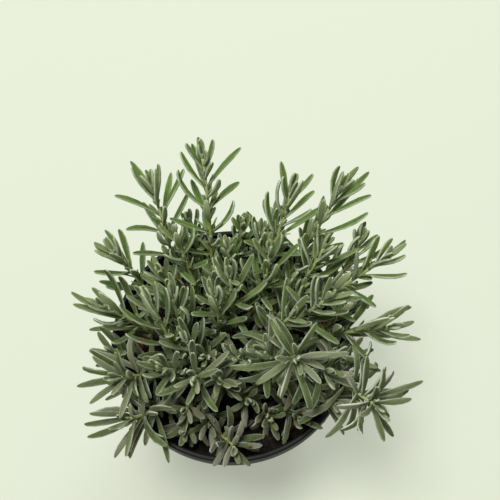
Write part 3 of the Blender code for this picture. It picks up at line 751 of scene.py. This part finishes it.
TUFT_FROM_PAIR = 3
DROOP_CURL = 2.6
WHORL_DROOP = 0.5
LOW_SHOOT_HEIGHT = POT_HEIGHT + 0.030  # low shoots in front hang their leaves too
LOW_SHOOT_FRONT = -0.020
LOW_SHOOT_DROOP = 0.55
WHORL_WIDTH = 0.0030
LOW_NODE_STEP = 0.0062
BUD_LEAVES = 4


def leaf_row(leaf, luck, youth, silver_and_front_shade, droop):
    """A grown leaf as a row of numbers, with the small bends that no two share."""
    curl = (luck.uniform(-0.85, 0.35) + droop * luck.uniform(0.3, 3.0)) * (1 - youth)
    sway = luck.uniform(-1.0, 1.0) * (0.16 + 0.28 * droop)
    return {
        "base": leaf.base - leaf.outward * 0.0004, "tangent": leaf.tangent, "outward": leaf.outward,
        "length": leaf.length, "width": leaf.width * 1.10, "thick": 0.00135,
        "lean": leaf.lean, "bend": leaf.bend, "hook": curl,
        "twist": leaf.twist, "sway": sway,
        "luck": luck.random(), "youth": youth, "silver_and_front_shade": silver_and_front_shade}


def small_row(stem, distance, bearing, lean, length, width, luck, youth, silver_and_front_shade):
    """A small leaf from the angle between a leaf and the stem."""
    point, tangent, side, across = stem.at(distance)
    outward = side * math.cos(bearing) + across * math.sin(bearing)
    return {
        "base": point + outward * stem.half_width(distance) * 0.6,
        "tangent": tangent, "outward": outward,
        "length": length, "width": width, "thick": 0.00070,
        "lean": lean, "bend": luck.uniform(-0.1, 0.35), "hook": luck.uniform(-0.3, 0.2),
        "twist": luck.uniform(-0.6, 0.6), "sway": luck.uniform(-0.08, 0.08),
        "luck": luck.random(), "youth": youth, "silver_and_front_shade": silver_and_front_shade}


def tuft_rows(stem, distance, bearing, rank, luck, silver_and_front_shade, droop):
    """The tuft of young leaves above one leaf: two, or one where the shoot droops, and longer ones
    further down.
    """
    rows = []
    count = 1 if droop > 0.3 else 2
    for _ in range(count):
        length = luck.uniform(0.6, 1.0) * min(0.0030 + 0.0011 * rank, 0.012) * (1 + droop)
        rows.append(small_row(
            stem, distance - 0.0006, bearing + luck.uniform(-0.9, 0.9), luck.uniform(0.25, 0.75),
            length, length * 0.16 + 0.0009, luck, luck.uniform(0.35, 0.8), silver_and_front_shade))
    return rows


def whorl_rows(spec, stem, distance, rank, luck, silver_and_front_shade, droop):
    """Long leaves that fill in between the pairs of a shoot that spreads like a star."""
    rows = []
    for turn in range(2 if spec[11] > 1.1 else 1):
        bearing = luck.uniform(0, 2 * math.pi) if turn else rank * 2.4
        length = spec[10] * 0.001 * luck.uniform(0.50, 0.90)
        lean = math.radians(25 + 4.5 * rank) + luck.uniform(-0.2, 0.2)
        row = small_row(stem, distance - 0.0008, bearing, lean, length, WHORL_WIDTH, luck, 0.0, silver_and_front_shade)
        row["thick"] = 0.00125
        row["bend"] = luck.uniform(-0.2, 0.5)
        row["hook"] = droop * luck.uniform(0.4, 3.2)
        row["luck"] = luck.uniform(0.40, 0.95)
        row["sway"] = luck.uniform(-0.35, 0.35) * droop
        rows.append(row)
    return rows


def dress_shoot(spec, stem, leaves):
    """Every leaf of a shoot: grown pairs, tufts between them, low tufts and the bud."""
    luck = random.Random("looks/" + spec[0])
    tip_y = stem.points[0].y
    # shoots further to the front get a silvery tone that is also darker, as painted shade
    silver_and_front_shade = min(max(0.5 - tip_y / 0.11, 0.05), 0.95)
    droop = DROOP_CURL * max(spec[11] - 1.1, 0)
    if stem.points[0].z < LOW_SHOOT_HEIGHT and tip_y < LOW_SHOOT_FRONT:
        droop = max(droop, LOW_SHOOT_DROOP)
    full, small = [], []
    distances = []
    for rank, (distance, found) in enumerate(leaves):
        distances.append(distance)
        youth = max(0.0, 0.75 - 0.22 * rank)
        for side_sign, leaf in found.items():
            full.append(leaf_row(leaf, luck, youth, silver_and_front_shade, droop * min(rank / 6, 1)))
        if droop > WHORL_DROOP and rank >= TUFT_FROM_PAIR:
            full += whorl_rows(spec, stem, distance, rank, luck, silver_and_front_shade, droop)
        elif rank >= TUFT_FROM_PAIR:
            for side_sign in (0, 1):
                bearing = side_sign * math.pi + (rank % 2) * math.pi / 2
                small += tuft_rows(stem, distance, bearing, rank, luck, silver_and_front_shade, droop)
    low = distances[-1] + LOW_NODE_STEP
    rank = len(distances)
    while low < stem.length - 0.006:
        distances.append(low)
        for side_sign in (0, 1):
            bearing = side_sign * math.pi + (rank % 2) * math.pi / 2
            small += tuft_rows(stem, low, bearing, rank, luck, silver_and_front_shade, droop)
        low += LOW_NODE_STEP
        rank += 1
    for bud in range(BUD_LEAVES):
        small.append(small_row(
            stem, 0.0008, bud * 2.4, luck.uniform(0.08, 0.30), luck.uniform(0.003, 0.0048), 0.0014,
            luck, 1.0, silver_and_front_shade))
    parts = [stem_blade(stem, distances, silver_and_front_shade), blades(full, FULL_STATIONS, FULL_SECTION),
             blades(small, SMALL_STATIONS, SMALL_SECTION)]
    return join(parts)


# ---------------------------------------------------------------- finishes

BLOTCH_SIZE = 6.2  # pattern sizes in millimetres
FELT_SIZE = 0.38
PEEL_SIZE = 1.1
DUST_SIZE = 18.0
CRUMB_SIZE = 2.4
DAMP_PATCH_SIZE = 14.0
GRAIN_SIZE = 2.6
SPLIT_PATCH_SIZE = 11.0
LOW_LEAF_FROM, LOW_LEAF_TO = POT_HEIGHT + 0.038, POT_HEIGHT - 0.008  # heights between which leaves low in the plant take painted shade, and may go dry


def linear(hex_colour):
    """An sRGB hex colour as a linear (r, g, b, 1)."""
    channels = [int(hex_colour[i:i + 2], 16) / 255 for i in (1, 3, 5)]
    return tuple(c / 12.92 if c <= 0.04045 else ((c + 0.055) / 1.055) ** 2.4 for c in channels) + (1.0,)


def add(tree, kind, inputs, out=0, **settings):
    """A node with its settings, its sockets set or linked; returns one of its outputs."""
    node = tree.nodes.new("ShaderNode" + kind)
    for key, value in settings.items():
        setattr(node, key, value)
    for key, value in inputs.items():
        if isinstance(value, bpy.types.NodeSocket):
            tree.links.new(value, node.inputs[key])
        else:
            node.inputs[key].default_value = value
    return node.outputs[out]


def finish(name, **constants):
    """A Principled material, its tree and its shader, with the shader's constants set."""
    material = bpy.data.materials.new(name)
    material.use_nodes = True
    shader = material.node_tree.nodes["Principled BSDF"]
    for key, value in constants.items():
        shader.inputs[key.replace("_", " ")].default_value = value
    return material, material.node_tree, shader


def felted_leaf():
    """Lavender leaf: waxy green under fine white felt, thicker on the rolled margins and
    beneath, so the eye sees grey-green blades with paler undersides and pale outlines, which
    are partly that felt and partly a painted highlight on the rolled edges. A dark line in the
    groove on top is painted shade. Leaves low in the plant are older, so only they go dry,
    and they are darkened as painted shade; those at the front are more silvery, and darker
    as painted shade."""
    material, tree, shader = finish(
        "felted_lavender_leaf", IOR=1.42, Sheen_Weight=0.12, Sheen_Roughness=0.45,
        Sheen_Tint=linear("#e2e4cf"), Subsurface_Weight=0.10, Subsurface_Scale=0.0008,
        Subsurface_Radius=(0.6, 1.0, 0.25), Specular_IOR_Level=0.35)
    blade = add(tree, "UVMap", {}, uv_map="blade")
    across, along = (add(tree, "SeparateXYZ", {0: blade}, axis) for axis in "XY")
    tone = add(tree, "Attribute", {}, "Color", attribute_name="tone")
    luck, youth, silver_and_front_shade = (add(tree, "SeparateColor", {0: tone}, part) for part in range(3))
    place = add(tree, "TexCoord", {}, "Object")
    height = add(tree, "SeparateXYZ", {0: place}, "Z")
    blotch = add(tree, "TexNoise", {"Vector": place, "Scale": 1000 / BLOTCH_SIZE, "Detail": 3.0})
    felt = add(tree, "TexNoise", {"Vector": place, "Scale": 1000 / FELT_SIZE, "Detail": 2.0})
    inward = add(tree, "Math", {0: across, 1: 0.25}, operation="PINGPONG")  # from the margin

    step = {}  # smooth steps: each turns a value between low and high into start to end
    for name, value, low, high, start, end in (
            # the pale margin outline: partly thicker felt on the rolled edge, partly a painted highlight
            ("margin_felt_and_highlight", inward, 0.020, 0.120, 1.0, 0.0),
            # painted shade: the dark line in the groove on top of the blade
            ("groove_shade", inward, 0.200, 0.245, 0.0, 0.55),
            ("midrib", inward, 0.200, 0.245, 0.0, 0.50),
            ("above", across, 0.47, 0.53, 0.0, 1.0),
            ("foot", along, 0.02, 0.26, 0.55, 0.0),
            # leaves low in the plant: the first step keeps drying to them and dims their pale margins as
            # painted shade; the second darkens them as painted shade
            ("age_and_low_shade", height, LOW_LEAF_TO, LOW_LEAF_FROM, 1.0, 0.0),
            ("dark", height, LOW_LEAF_TO, LOW_LEAF_FROM, 0.68, 0.0),
            ("blotch", blotch, 0.45, 0.75, 0.0, 0.35),
            # how strongly the pale margin shows: varied at random, less on young leaves, and less on low
            # leaves as painted shade
            ("margin_strength", blotch, 0.42, 0.62, 0.74, 0.34),
            ("hairs", felt, 0.52, 0.72, 0.0, 0.14),
            ("felted", luck, 0.50, 0.95, 0.0, 0.68),
            ("dry", luck, 0.90, 1.00, 0.0, 0.55),
            ("green_stem", along, 0.10, 0.55, 0.0, 1.0),
            ("pale_stem", along, 0.60, 1.00, 0.0, 0.6)):
        step[name] = add(tree, "MapRange", {"Value": value, "From Min": low, "From Max": high,
                                            "To Min": start, "To Max": end},
                         interpolation_type="SMOOTHSTEP")
    step["young"] = add(tree, "Math", {0: youth, 1: 0.50}, operation="MULTIPLY")
    # painted shade: the pale margins of low leaves are dimmed
    step["margin_strength"] = add(tree, "Math", {0: step["age_and_low_shade"], 1: -0.34, 2: step["margin_strength"]},
                       operation="MULTIPLY_ADD")
    step["margin_strength"] = add(tree, "Math", {0: youth, 1: -0.45, 2: step["margin_strength"]},
                       operation="MULTIPLY_ADD", use_clamp=True)
    for name, factor in (("groove_shade", step["above"]), ("felted", silver_and_front_shade), ("felted", silver_and_front_shade),
                         ("dry", step["age_and_low_shade"]), ("margin_felt_and_highlight", step["margin_strength"])):
        step[name] = add(tree, "Math", {0: step[name], 1: factor}, operation="MULTIPLY")
    step["stem"] = add(tree, "Math", {0: across, 1: 1.5}, operation="GREATER_THAN")

    paint = {}  # coats: each is one colour or coat, turned into another by a share
    for name, coat, share, over in (
            ("green", "#3b5714", luck, "#587622"),
            # the grey coat: the silvery tone of leaves at the front, made darker as painted shade
            ("grey", "#38421f", luck, "#525737"),
            ("upper", "green", silver_and_front_shade, "grey"),
            ("upper", "upper", step["blotch"], "#6d7e44"),
            # painted shade in the groove
            ("upper", "upper", step["groove_shade"], "#2a3b17"),
            # painted shade on leaves low in the plant
            ("upper", "upper", step["dark"], "#343d18"),
            ("upper", "upper", step["felted"], "#7c786e"),
            ("upper", "upper", step["dry"], "#75683f"),
            ("upper", "upper", step["foot"], "#6f8038"),
            ("upper", "upper", step["young"], "#868f6a"),
            ("lower", "#748552", luck, "#8c986c"),
            ("lower", "lower", step["midrib"], "#a5a98a"),
            ("stem", "#5b4a36", step["green_stem"], "#86924a"),
            ("stem", "stem", step["pale_stem"], "#a3ae86"),
            ("blade", "lower", step["above"], "upper"),
            # pale margin outline: partly felt, partly painted highlight
            ("blade", "blade", step["margin_felt_and_highlight"], "#c2c9bb"),
            ("blade", "blade", step["hairs"], "#c9d2bd"),
            ("whole", "blade", step["stem"], "stem")):
        paint[name] = add(tree, "Mix", {0: share, 6: paint[coat] if coat in paint else linear(coat),
                                        7: paint[over] if over in paint else linear(over)},
                          2, data_type="RGBA")
    rough = add(tree, "MapRange", {"Value": felt, "To Min": 0.52, "To Max": 0.78})
    bump = add(tree, "Bump", {"Strength": 0.25, "Distance": 0.00012, "Height": felt})
    tree.links.new(paint["whole"], shader.inputs["Base Color"])
    tree.links.new(rough, shader.inputs["Roughness"])
    tree.links.new(bump, shader.inputs["Normal"])
    return material


def moulded_polypropylene():
    """Black nursery-pot polypropylene: injection moulded, so an even dull skin with a
    faint orange-peel and a little dust from the potting bench."""
    material, tree, shader = finish(
        "moulded_black_polypropylene", IOR=1.49, Specular_IOR_Level=0.20)
    place = add(tree, "TexCoord", {}, "Object")
    peel = add(tree, "TexNoise", {"Vector": place, "Scale": 1000 / PEEL_SIZE, "Detail": 2.0})
    dust = add(tree, "TexNoise", {"Vector": place, "Scale": 1000 / DUST_SIZE, "Detail": 6.0})
    dusty = add(tree, "MapRange", {"Value": dust, "From Min": 0.50, "From Max": 0.80,
                                   "To Max": 0.45}, interpolation_type="SMOOTHSTEP")
    colour = add(tree, "Mix", {0: dusty, 6: linear("#090a0b"), 7: linear("#1b1a18")}, 2,
                 data_type="RGBA")
    rough = add(tree, "MapRange", {"Value": dust, "From Min": 0.3, "From Max": 0.8,
                                   "To Min": 0.48, "To Max": 0.70})
    bump = add(tree, "Bump", {"Strength": 0.12, "Distance": 0.0001, "Height": peel})
    tree.links.new(colour, shader.inputs["Base Color"])
    tree.links.new(rough, shader.inputs["Roughness"])
    tree.links.new(bump, shader.inputs["Normal"])
    return material


def damp_compost():
    """Peat compost: fine dark fibres and crumbs, damp, so nearly black between lit grains."""
    material, tree, shader = finish(
        "damp_peat_compost", IOR=1.40, Specular_IOR_Level=0.3, Roughness=0.92)
    place = add(tree, "TexCoord", {}, "Object")
    crumb = add(tree, "TexNoise", {"Vector": place, "Scale": 1000 / CRUMB_SIZE, "Detail": 6.0})
    patch = add(tree, "TexNoise", {"Vector": place, "Scale": 1000 / DAMP_PATCH_SIZE, "Detail": 3.0})
    colour = linear("#080605")
    for value, low, high, most, paint in ((crumb, 0.35, 0.70, 1.0, "#261c15"),
                                          (patch, 0.50, 0.80, 0.4, "#33271f")):
        share = add(tree, "MapRange", {"Value": value, "From Min": low, "From Max": high,
                                       "To Max": most}, interpolation_type="SMOOTHSTEP")
        colour = add(tree, "Mix", {0: share, 6: colour, 7: linear(paint)}, 2, data_type="RGBA")
    bump = add(tree, "Bump", {"Strength": 0.7, "Distance": 0.0008, "Height": crumb})
    tree.links.new(colour, shader.inputs["Base Color"])
    tree.links.new(bump, shader.inputs["Normal"])
    return material


def pine_bark():
    """Composted pine bark: flat flakes, orange-brown where split and grey-brown outside."""
    material, tree, shader = finish("composted_pine_bark", IOR=1.45, Roughness=0.85)
    place = add(tree, "TexCoord", {}, "Object")
    layers = add(tree, "Mapping", {"Vector": place, "Scale": (1.0, 1.0, 6.0)})
    grain = add(tree, "TexNoise", {"Vector": layers, "Scale": 1000 / GRAIN_SIZE, "Detail": 5.0})
    patch = add(tree, "TexNoise", {"Vector": place, "Scale": 1000 / SPLIT_PATCH_SIZE, "Detail": 2.0})
    colour = linear("#45230f")
    for value, low, high, most, paint in ((grain, 0.35, 0.65, 1.0, "#8a4a26"),
                                          (patch, 0.50, 0.70, 0.6, "#4a3527")):
        share = add(tree, "MapRange", {"Value": value, "From Min": low, "From Max": high,
                                       "To Max": most}, interpolation_type="SMOOTHSTEP")
        colour = add(tree, "Mix", {0: share, 6: colour, 7: linear(paint)}, 2, data_type="RGBA")
    bump = add(tree, "Bump", {"Strength": 0.6, "Distance": 0.0005, "Height": grain})
    tree.links.new(colour, shader.inputs["Base Color"])
    tree.links.new(bump, shader.inputs["Normal"])
    return material


# ---------------------------------------------------------------- pot

POT_AROUND = 192
FOOT_ROUND = 0.0012  # radii of the soft corners
STEP_ROUND = 0.0007
COLLAR_ROUND = 0.0008
LIP_ROUND = 0.0011
INNER_ROUND = 0.0010
CREASE = 40  # degrees past which an edge stays sharp


def turned(profile, around):
    """Closed surface of a profile of (radius, height) turned about Z, poles on the axis.

    Each point is (radius * cos(turn), radius * sin(turn), height).
    """
    turn = np.arange(around) * 2 * math.pi / around
    rings = profile[1:-1]
    x = rings[:, 0:1] * np.cos(turn)
    y = rings[:, 0:1] * np.sin(turn)
    z = np.repeat(rings[:, 1:2], around, axis=1)
    points = np.stack([x, y, z], axis=-1).reshape(-1, 3)
    poles = np.array([(0, 0, profile[0, 1]), (0, 0, profile[-1, 1])])
    quads, tris = ring_faces(len(rings), around)
    return np.concatenate([points, poles]), quads, tris


def arc(centre, radius, start, end, count):
    """Points of an arc in the (radius, height) plane, between two bearings in degrees."""
    turn = np.radians(np.linspace(start, end, count))
    return np.stack([centre[0] + radius * np.cos(turn), centre[1] + radius * np.sin(turn)], axis=-1)


def build_pot(material):
    """The thin-walled pot: flat base, tapered wall, a stepped collar with a round lip.

    Its profile runs out under the base, up the outside, over the lip and down the inside;
    the outer radius grows evenly from the base to the collar, then steps out to the rim.
    """
    low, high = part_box("pot")
    rim, top = high.x, high.z
    collar_foot = top - COLLAR_DEPTH
    slope = (rim - COLLAR_STEP - BASE_RADIUS) / collar_foot

    def outer(z):
        return BASE_RADIUS + slope * min(z, collar_foot)

    step, inner = outer(collar_foot), outer(FLOOR) - WALL
    profile = np.concatenate([
        [(0, 0), (BASE_RADIUS * 0.5, 0)],
        arc((BASE_RADIUS - FOOT_ROUND, FOOT_ROUND), FOOT_ROUND, -90, -8, 7),
        np.array([(outer(z), z) for z in np.linspace(0.004, collar_foot - 0.001, 24)]),
        arc((step + STEP_ROUND, collar_foot - 0.0005), STEP_ROUND, 180, 90, 5),
        arc((rim - COLLAR_ROUND, collar_foot + COLLAR_ROUND), COLLAR_ROUND, -90, 0, 6),
        arc((rim - LIP_ROUND, top - LIP_ROUND), LIP_ROUND, 0, 90, 8),
        arc((step - WALL + LIP_ROUND, top - LIP_ROUND), LIP_ROUND, 90, 180, 8),
        np.array([(outer(z) - WALL, z) for z in np.linspace(top - 0.003, FLOOR + 0.0012, 26)]),
        arc((inner - INNER_ROUND, FLOOR + INNER_ROUND), INNER_ROUND, 0, -90, 5),
        [(BASE_RADIUS * 0.5, FLOOR), (0, FLOOR)]])
    points, quads, tris = turned(profile, POT_AROUND)
    pot = make_piece("pot_shell", points, quads, tris, material)
    cut_drain_holes(pot)
    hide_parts("pot")


def cut_drain_holes(pot):
    """Round drain holes through the base, cut and then made part of the mesh."""
    profile = np.array([(0, -FLOOR), (DRAIN_RADIUS, -FLOOR), (DRAIN_RADIUS, 2 * FLOOR), (0, 2 * FLOOR)])
    points, quads, tris = turned(profile, 40)
    turn = np.radians(360 / DRAIN_HOLES * (np.arange(DRAIN_HOLES) + 0.5))
    centres = (BASE_RADIUS - DRAIN_INSET) * np.stack([np.cos(turn), np.sin(turn), 0 * turn], axis=-1)
    first = (np.arange(DRAIN_HOLES) * len(points))[:, None, None]
    cutter = make_piece(
        "drain_cutter", (points + centres[:, None, :]).reshape(-1, 3),
        (quads + first).reshape(-1, 4), (tris + first).reshape(-1, 3), pot.data.materials[0])
    cut = pot.modifiers.new("drain", "BOOLEAN")
    cut.operation, cut.solver, cut.object = "DIFFERENCE", "EXACT", cutter
    bpy.context.view_layer.update()
    finished = bpy.data.meshes.new_from_object(pot.evaluated_get(bpy.context.evaluated_depsgraph_get()))
    pot.modifiers.clear()
    pot.data = finished
    finished.shade_smooth()
    finished.set_sharp_from_angle(angle=math.radians(CREASE))
    bpy.data.objects.remove(cutter)


# ---------------------------------------------------------------- soil and bark


SOIL_AROUND = 256
SOIL_ACROSS = 96
SOIL_EDGE_GAP = 0.0002
SOIL_FOOT_RADIUS = 0.0413
GRAIN_HEIGHT = 0.0006
GRAIN_SIZES = (0.007, 0.0016)  # the coarsest and finest lumps of the compost
GRAIN_WARP = 0.0012
WARP_SIZES = (0.010, 0.004)
CRUMBS, CRUMB_REACH = 1700, 0.0525
CRUMB_RADII = (0.0005, 0.0019)  # the least, and the most that is added to it
BARK_BITS, BIT_REACH = 80, 0.0515
BIT_LENGTHS = (0.0012, 0.0032)  # halves of the shortest and the longest
FLAKE_THICKNESS = 0.0012


def ripples(x, y, seed, waves, coarse, fine):
    """Smooth noise: a sum of sine waves in random directions, from coarse to fine.

    Each wave adds sin(2 pi * distance along its direction / size + phase), weighted by its
    size over the coarsest size.
    """
    rng = np.random.default_rng(seed)
    total = np.zeros_like(x)
    for wave in range(waves):
        size = coarse * (fine / coarse) ** (wave / (waves - 1))
        turn, phase = rng.uniform(0, 2 * math.pi, 2)
        number = 2 * math.pi / size
        total += size / coarse * np.sin(number * (x * math.cos(turn) + y * math.sin(turn)) + phase)
    return total


def soil_grain(x, y):
    """Fine relief of the compost: ripples read at places that other ripples have shifted."""
    warp_x = x + GRAIN_WARP * ripples(x, y, 5, 6, *WARP_SIZES)
    warp_y = y + GRAIN_WARP * ripples(x, y, 6, 6, *WARP_SIZES)
    return GRAIN_HEIGHT * ripples(warp_x, warp_y, 7, 16, *GRAIN_SIZES)


def build_soil(material):
    """The compost: a round block whose top is a low mound with bumps and fine crumbs.

    Rings of points run from under the foot out to the edge and in to the middle. The
    top's height is the soil level plus (1 - share^2) times the mound and its bumps, plus
    the fine relief, which fades out at the edge.
    """
    low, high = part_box("soil")
    edge = high.x - SOIL_EDGE_GAP
    turn = np.arange(SOIL_AROUND) * 2 * math.pi / SOIL_AROUND
    reach = edge * np.linspace(1, 0, SOIL_ACROSS + 1)[:-1]
    x = reach[:, None] * np.cos(turn)
    y = reach[:, None] * np.sin(turn)
    share = np.clip(np.hypot(x, y) / edge, 0, 1)
    wave_x, wave_y, wave_both = SOIL_WAVES
    bumps = np.sin(wave_x * x + 1.0) * np.cos(wave_y * y) + np.sin(wave_both * (x + y))
    z = SOIL_LEVEL + (1 - share**2) * (SOIL_MOUND + SOIL_BUMP * bumps)
    z = z + soil_grain(x, y) * np.clip((1 - share) * 14, 0, 1)
    top = np.stack([x, y, z], axis=-1)
    side = np.stack([
        np.stack([radius * np.cos(turn), radius * np.sin(turn), np.full(SOIL_AROUND, height)], axis=-1)
        for radius, height in ((SOIL_FOOT_RADIUS - 0.001, low.z), (SOIL_FOOT_RADIUS, low.z + 0.001),
                               (edge, SOIL_LEVEL - 0.001))])
    rings = np.concatenate([side, top])
    poles = np.array([(0, 0, low.z), (0, 0, float(z[-1].mean()))])
    soil = make_piece("compost_fill", np.concatenate([rings.reshape(-1, 3), poles]),
                      *ring_faces(len(rings), SOIL_AROUND), material)
    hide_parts("soil")


def pebbles(centres, sizes, turns, seed, rings=4, around=7):
    """Irregular closed grains: points of a ball by latitude and longitude, each moved in
    or out by up to a fifth, stretched to its sizes and turned about Z."""
    rng = np.random.default_rng(seed)
    lat = np.linspace(-math.pi / 2, math.pi / 2, rings + 2)[1:-1]
    lon = np.arange(around) * 2 * math.pi / around
    unit = np.stack([np.cos(lat)[:, None] * np.cos(lon), np.cos(lat)[:, None] * np.sin(lon),
                     np.repeat(np.sin(lat)[:, None], around, axis=1)], axis=-1).reshape(-1, 3)
    unit = np.concatenate([unit, [(0, 0, -1), (0, 0, 1)]])
    rough = 1 + rng.uniform(-0.22, 0.22, (len(centres), len(unit)))
    shape = unit[None] * rough[..., None] * sizes[:, None, :]
    cos, sin = np.cos(turns)[:, None], np.sin(turns)[:, None]
    x = shape[..., 0] * cos - shape[..., 1] * sin
    y = shape[..., 0] * sin + shape[..., 1] * cos
    points = np.stack([x, y, shape[..., 2]], axis=-1) + centres[:, None, :]
    quads, tris = ring_faces(rings, around)
    first = (np.arange(len(centres)) * len(unit))[:, None, None]
    return points.reshape(-1, 3), (quads + first).reshape(-1, 4), (tris + first).reshape(-1, 3)


def scatter(count, seed, ground, reach):
    """Places on the soil, evenly spread, with the ground's height under each."""
    rng = np.random.default_rng(seed)
    radius = reach * np.sqrt(rng.uniform(0, 1, count))
    turn = rng.uniform(0, 2 * math.pi, count)
    x, y = radius * np.cos(turn), radius * np.sin(turn)
    z = np.array([ground.ray_cast(Vector((a, b, POT_HEIGHT)), -UP)[0].z for a, b in zip(x, y)])
    return np.stack([x, y, z], axis=-1), rng


def build_crumbs(material, ground):
    """Loose crumbs of compost on the surface, many small ones and a few large."""
    centres, rng = scatter(CRUMBS, 11, ground, CRUMB_REACH)
    size = CRUMB_RADII[0] + CRUMB_RADII[1] * rng.uniform(0, 1, (CRUMBS, 1)) ** 2.5
    size = size * rng.uniform(0.6, 1.4, (CRUMBS, 3))
    size[:, 2] *= 0.7
    crumbs = make_piece(
        "compost_crumbs", *pebbles(centres, size, rng.uniform(0, 6.3, CRUMBS), 12), material)


def build_bark(material, ground):
    """Bark flakes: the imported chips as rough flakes, and smaller bits between them."""
    for name, _, _, turn, length, width, _ in sorted(BARK_CHIPS):
        low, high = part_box(name)
        centre = np.array([(low + high) / 2])
        size = np.array([[length / 2, width / 2, FLAKE_THICKNESS]])
        flake = make_piece(
            name.replace("chip", "flake"),
            *pebbles(centre, size, np.array([math.radians(turn)]), sum(map(ord, name)), 9, 18), material)
        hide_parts(name)
    centres, rng = scatter(BARK_BITS, 21, ground, BIT_REACH)
    size = rng.uniform(*BIT_LENGTHS, (BARK_BITS, 1)) * np.array([[1.0, 0.5, 0.28]])
    turns = rng.uniform(0, 6.3, BARK_BITS)
    bits = make_piece("bark_bits", *pebbles(centres + (0, 0, 0.0005), size, turns, 22), material)


# ---------------------------------------------------------------- studio


FLOOR_HALF = 12.0
FLOOR_GLOW = 0.40  # the floor glows a little, so that the shadow on it stays soft
WALL_STRENGTH = 0.72
SKY_STRENGTH = 0.24
LIGHT_SIZE = 0.70
KEY_PLACE, KEY_TARGET, KEY_WATTS = (-0.38, 0.12, 2.00), (0, 0, 0.10), 48.0
BACK_PLACE, BACK_TARGET, BACK_WATTS = (0.55, 1.30, 1.20), (0, 0, 0.12), 16.0
CAMERA_PLACE = (0.0, -0.1316, 0.5253)
CAMERA_PAN, CAMERA_FALL = 4.0, 67.28  # degrees to the right, and down from level
CAMERA_LENS, CAMERA_SENSOR = 64.6, 36.0


def area_light(name, place, target, watts, colour):
    """A round lamp at a place, turned to look at its target."""
    light = bpy.data.lights.new(name, "AREA")
    light.shape, light.size, light.energy, light.color = "DISK", LIGHT_SIZE, watts, colour
    item = bpy.data.objects.new(name, light)
    item.location = place
    item.rotation_euler = (Vector(target) - Vector(place)).to_track_quat("-Z", "Y").to_euler()
    bpy.context.scene.collection.objects.link(item)


def build_studio():
    """A pale floor, pale walls fading to a dimmer sky, two lights, and the camera high in front."""
    floor, _, _ = finish(
        "pale_floor", Base_Color=linear("#8b9084"), Roughness=0.9,
        Emission_Color=linear("#eef4e0"), Emission_Strength=FLOOR_GLOW)
    mesh = bpy.data.meshes.new("floor")
    corners = ((-1, -1), (1, -1), (1, 1), (-1, 1))
    mesh.from_pydata([(FLOOR_HALF * x, FLOOR_HALF * y, 0) for x, y in corners], [], [(0, 1, 2, 3)])
    mesh.materials.append(floor)
    item = bpy.data.objects.new("floor", mesh)
    bpy.context.scene.collection.objects.link(item)

    world = bpy.data.worlds.new("soft_sky")
    world.use_nodes = True
    tree = world.node_tree
    place = add(tree, "TexCoord", {}, "Generated")
    height = add(tree, "SeparateXYZ", {0: place}, "Z")
    strength = add(tree, "MapRange", {"Value": height, "From Min": 0.05, "From Max": 0.75,
                                      "To Min": WALL_STRENGTH, "To Max": SKY_STRENGTH},
                   interpolation_type="SMOOTHSTEP")
    background = tree.nodes["Background"]
    background.inputs["Color"].default_value = linear("#f0f4ea")
    tree.links.new(strength, background.inputs["Strength"])
    bpy.context.scene.world = world
    area_light("key_light", KEY_PLACE, KEY_TARGET, KEY_WATTS, (1.0, 0.985, 0.95))
    area_light("back_light", BACK_PLACE, BACK_TARGET, BACK_WATTS, (1.0, 1.0, 0.97))

    camera = bpy.data.cameras.new("camera")
    camera.lens, camera.sensor_width, camera.clip_start = CAMERA_LENS, CAMERA_SENSOR, 0.01
    item = bpy.data.objects.new("camera", camera)
    item.location = CAMERA_PLACE
    pan, fall = math.radians(CAMERA_PAN), math.radians(CAMERA_FALL)
    looking = Vector((math.sin(pan) * math.cos(fall), math.cos(pan) * math.cos(fall), -math.sin(fall)))
    item.rotation_euler = looking.to_track_quat("-Z", "Y").to_euler()
    bpy.context.scene.collection.objects.link(item)
    bpy.context.scene.camera = item
    bpy.context.scene.view_settings.view_transform = "Standard"


# ---------------------------------------------------------------- the whole object


def solid_of(node):
    """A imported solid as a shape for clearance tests."""
    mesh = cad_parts[node].data
    return Solid([v.co.copy() for v in mesh.vertices], [tuple(p.vertices) for p in mesh.polygons])


def main():
    """The studio, the pot with its soil and bark, then one dressed piece for each shoot."""
    build_studio()
    leaf_finish = felted_leaf()
    plastic = moulded_polypropylene()
    compost = damp_compost()
    bark = pine_bark()
    build_pot(plastic)
    fixed = [solid_of("pot"), solid_of("soil")]
    ground = fixed[1].tree
    fixed += [solid_of(chip[0]) for chip in BARK_CHIPS]
    build_soil(compost)
    build_crumbs(compost, ground)
    build_bark(bark, ground)
    for spec, stem, leaves, _, _ in grow_shoots(fixed, ground):
        points, quads, tris, uv, tone = dress_shoot(spec, stem, leaves)
        foliage = make_piece(spec[0].replace("shoot", "foliage"), points, quads, tris, leaf_finish,
                             uv, tone)
        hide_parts(spec[0])


main()
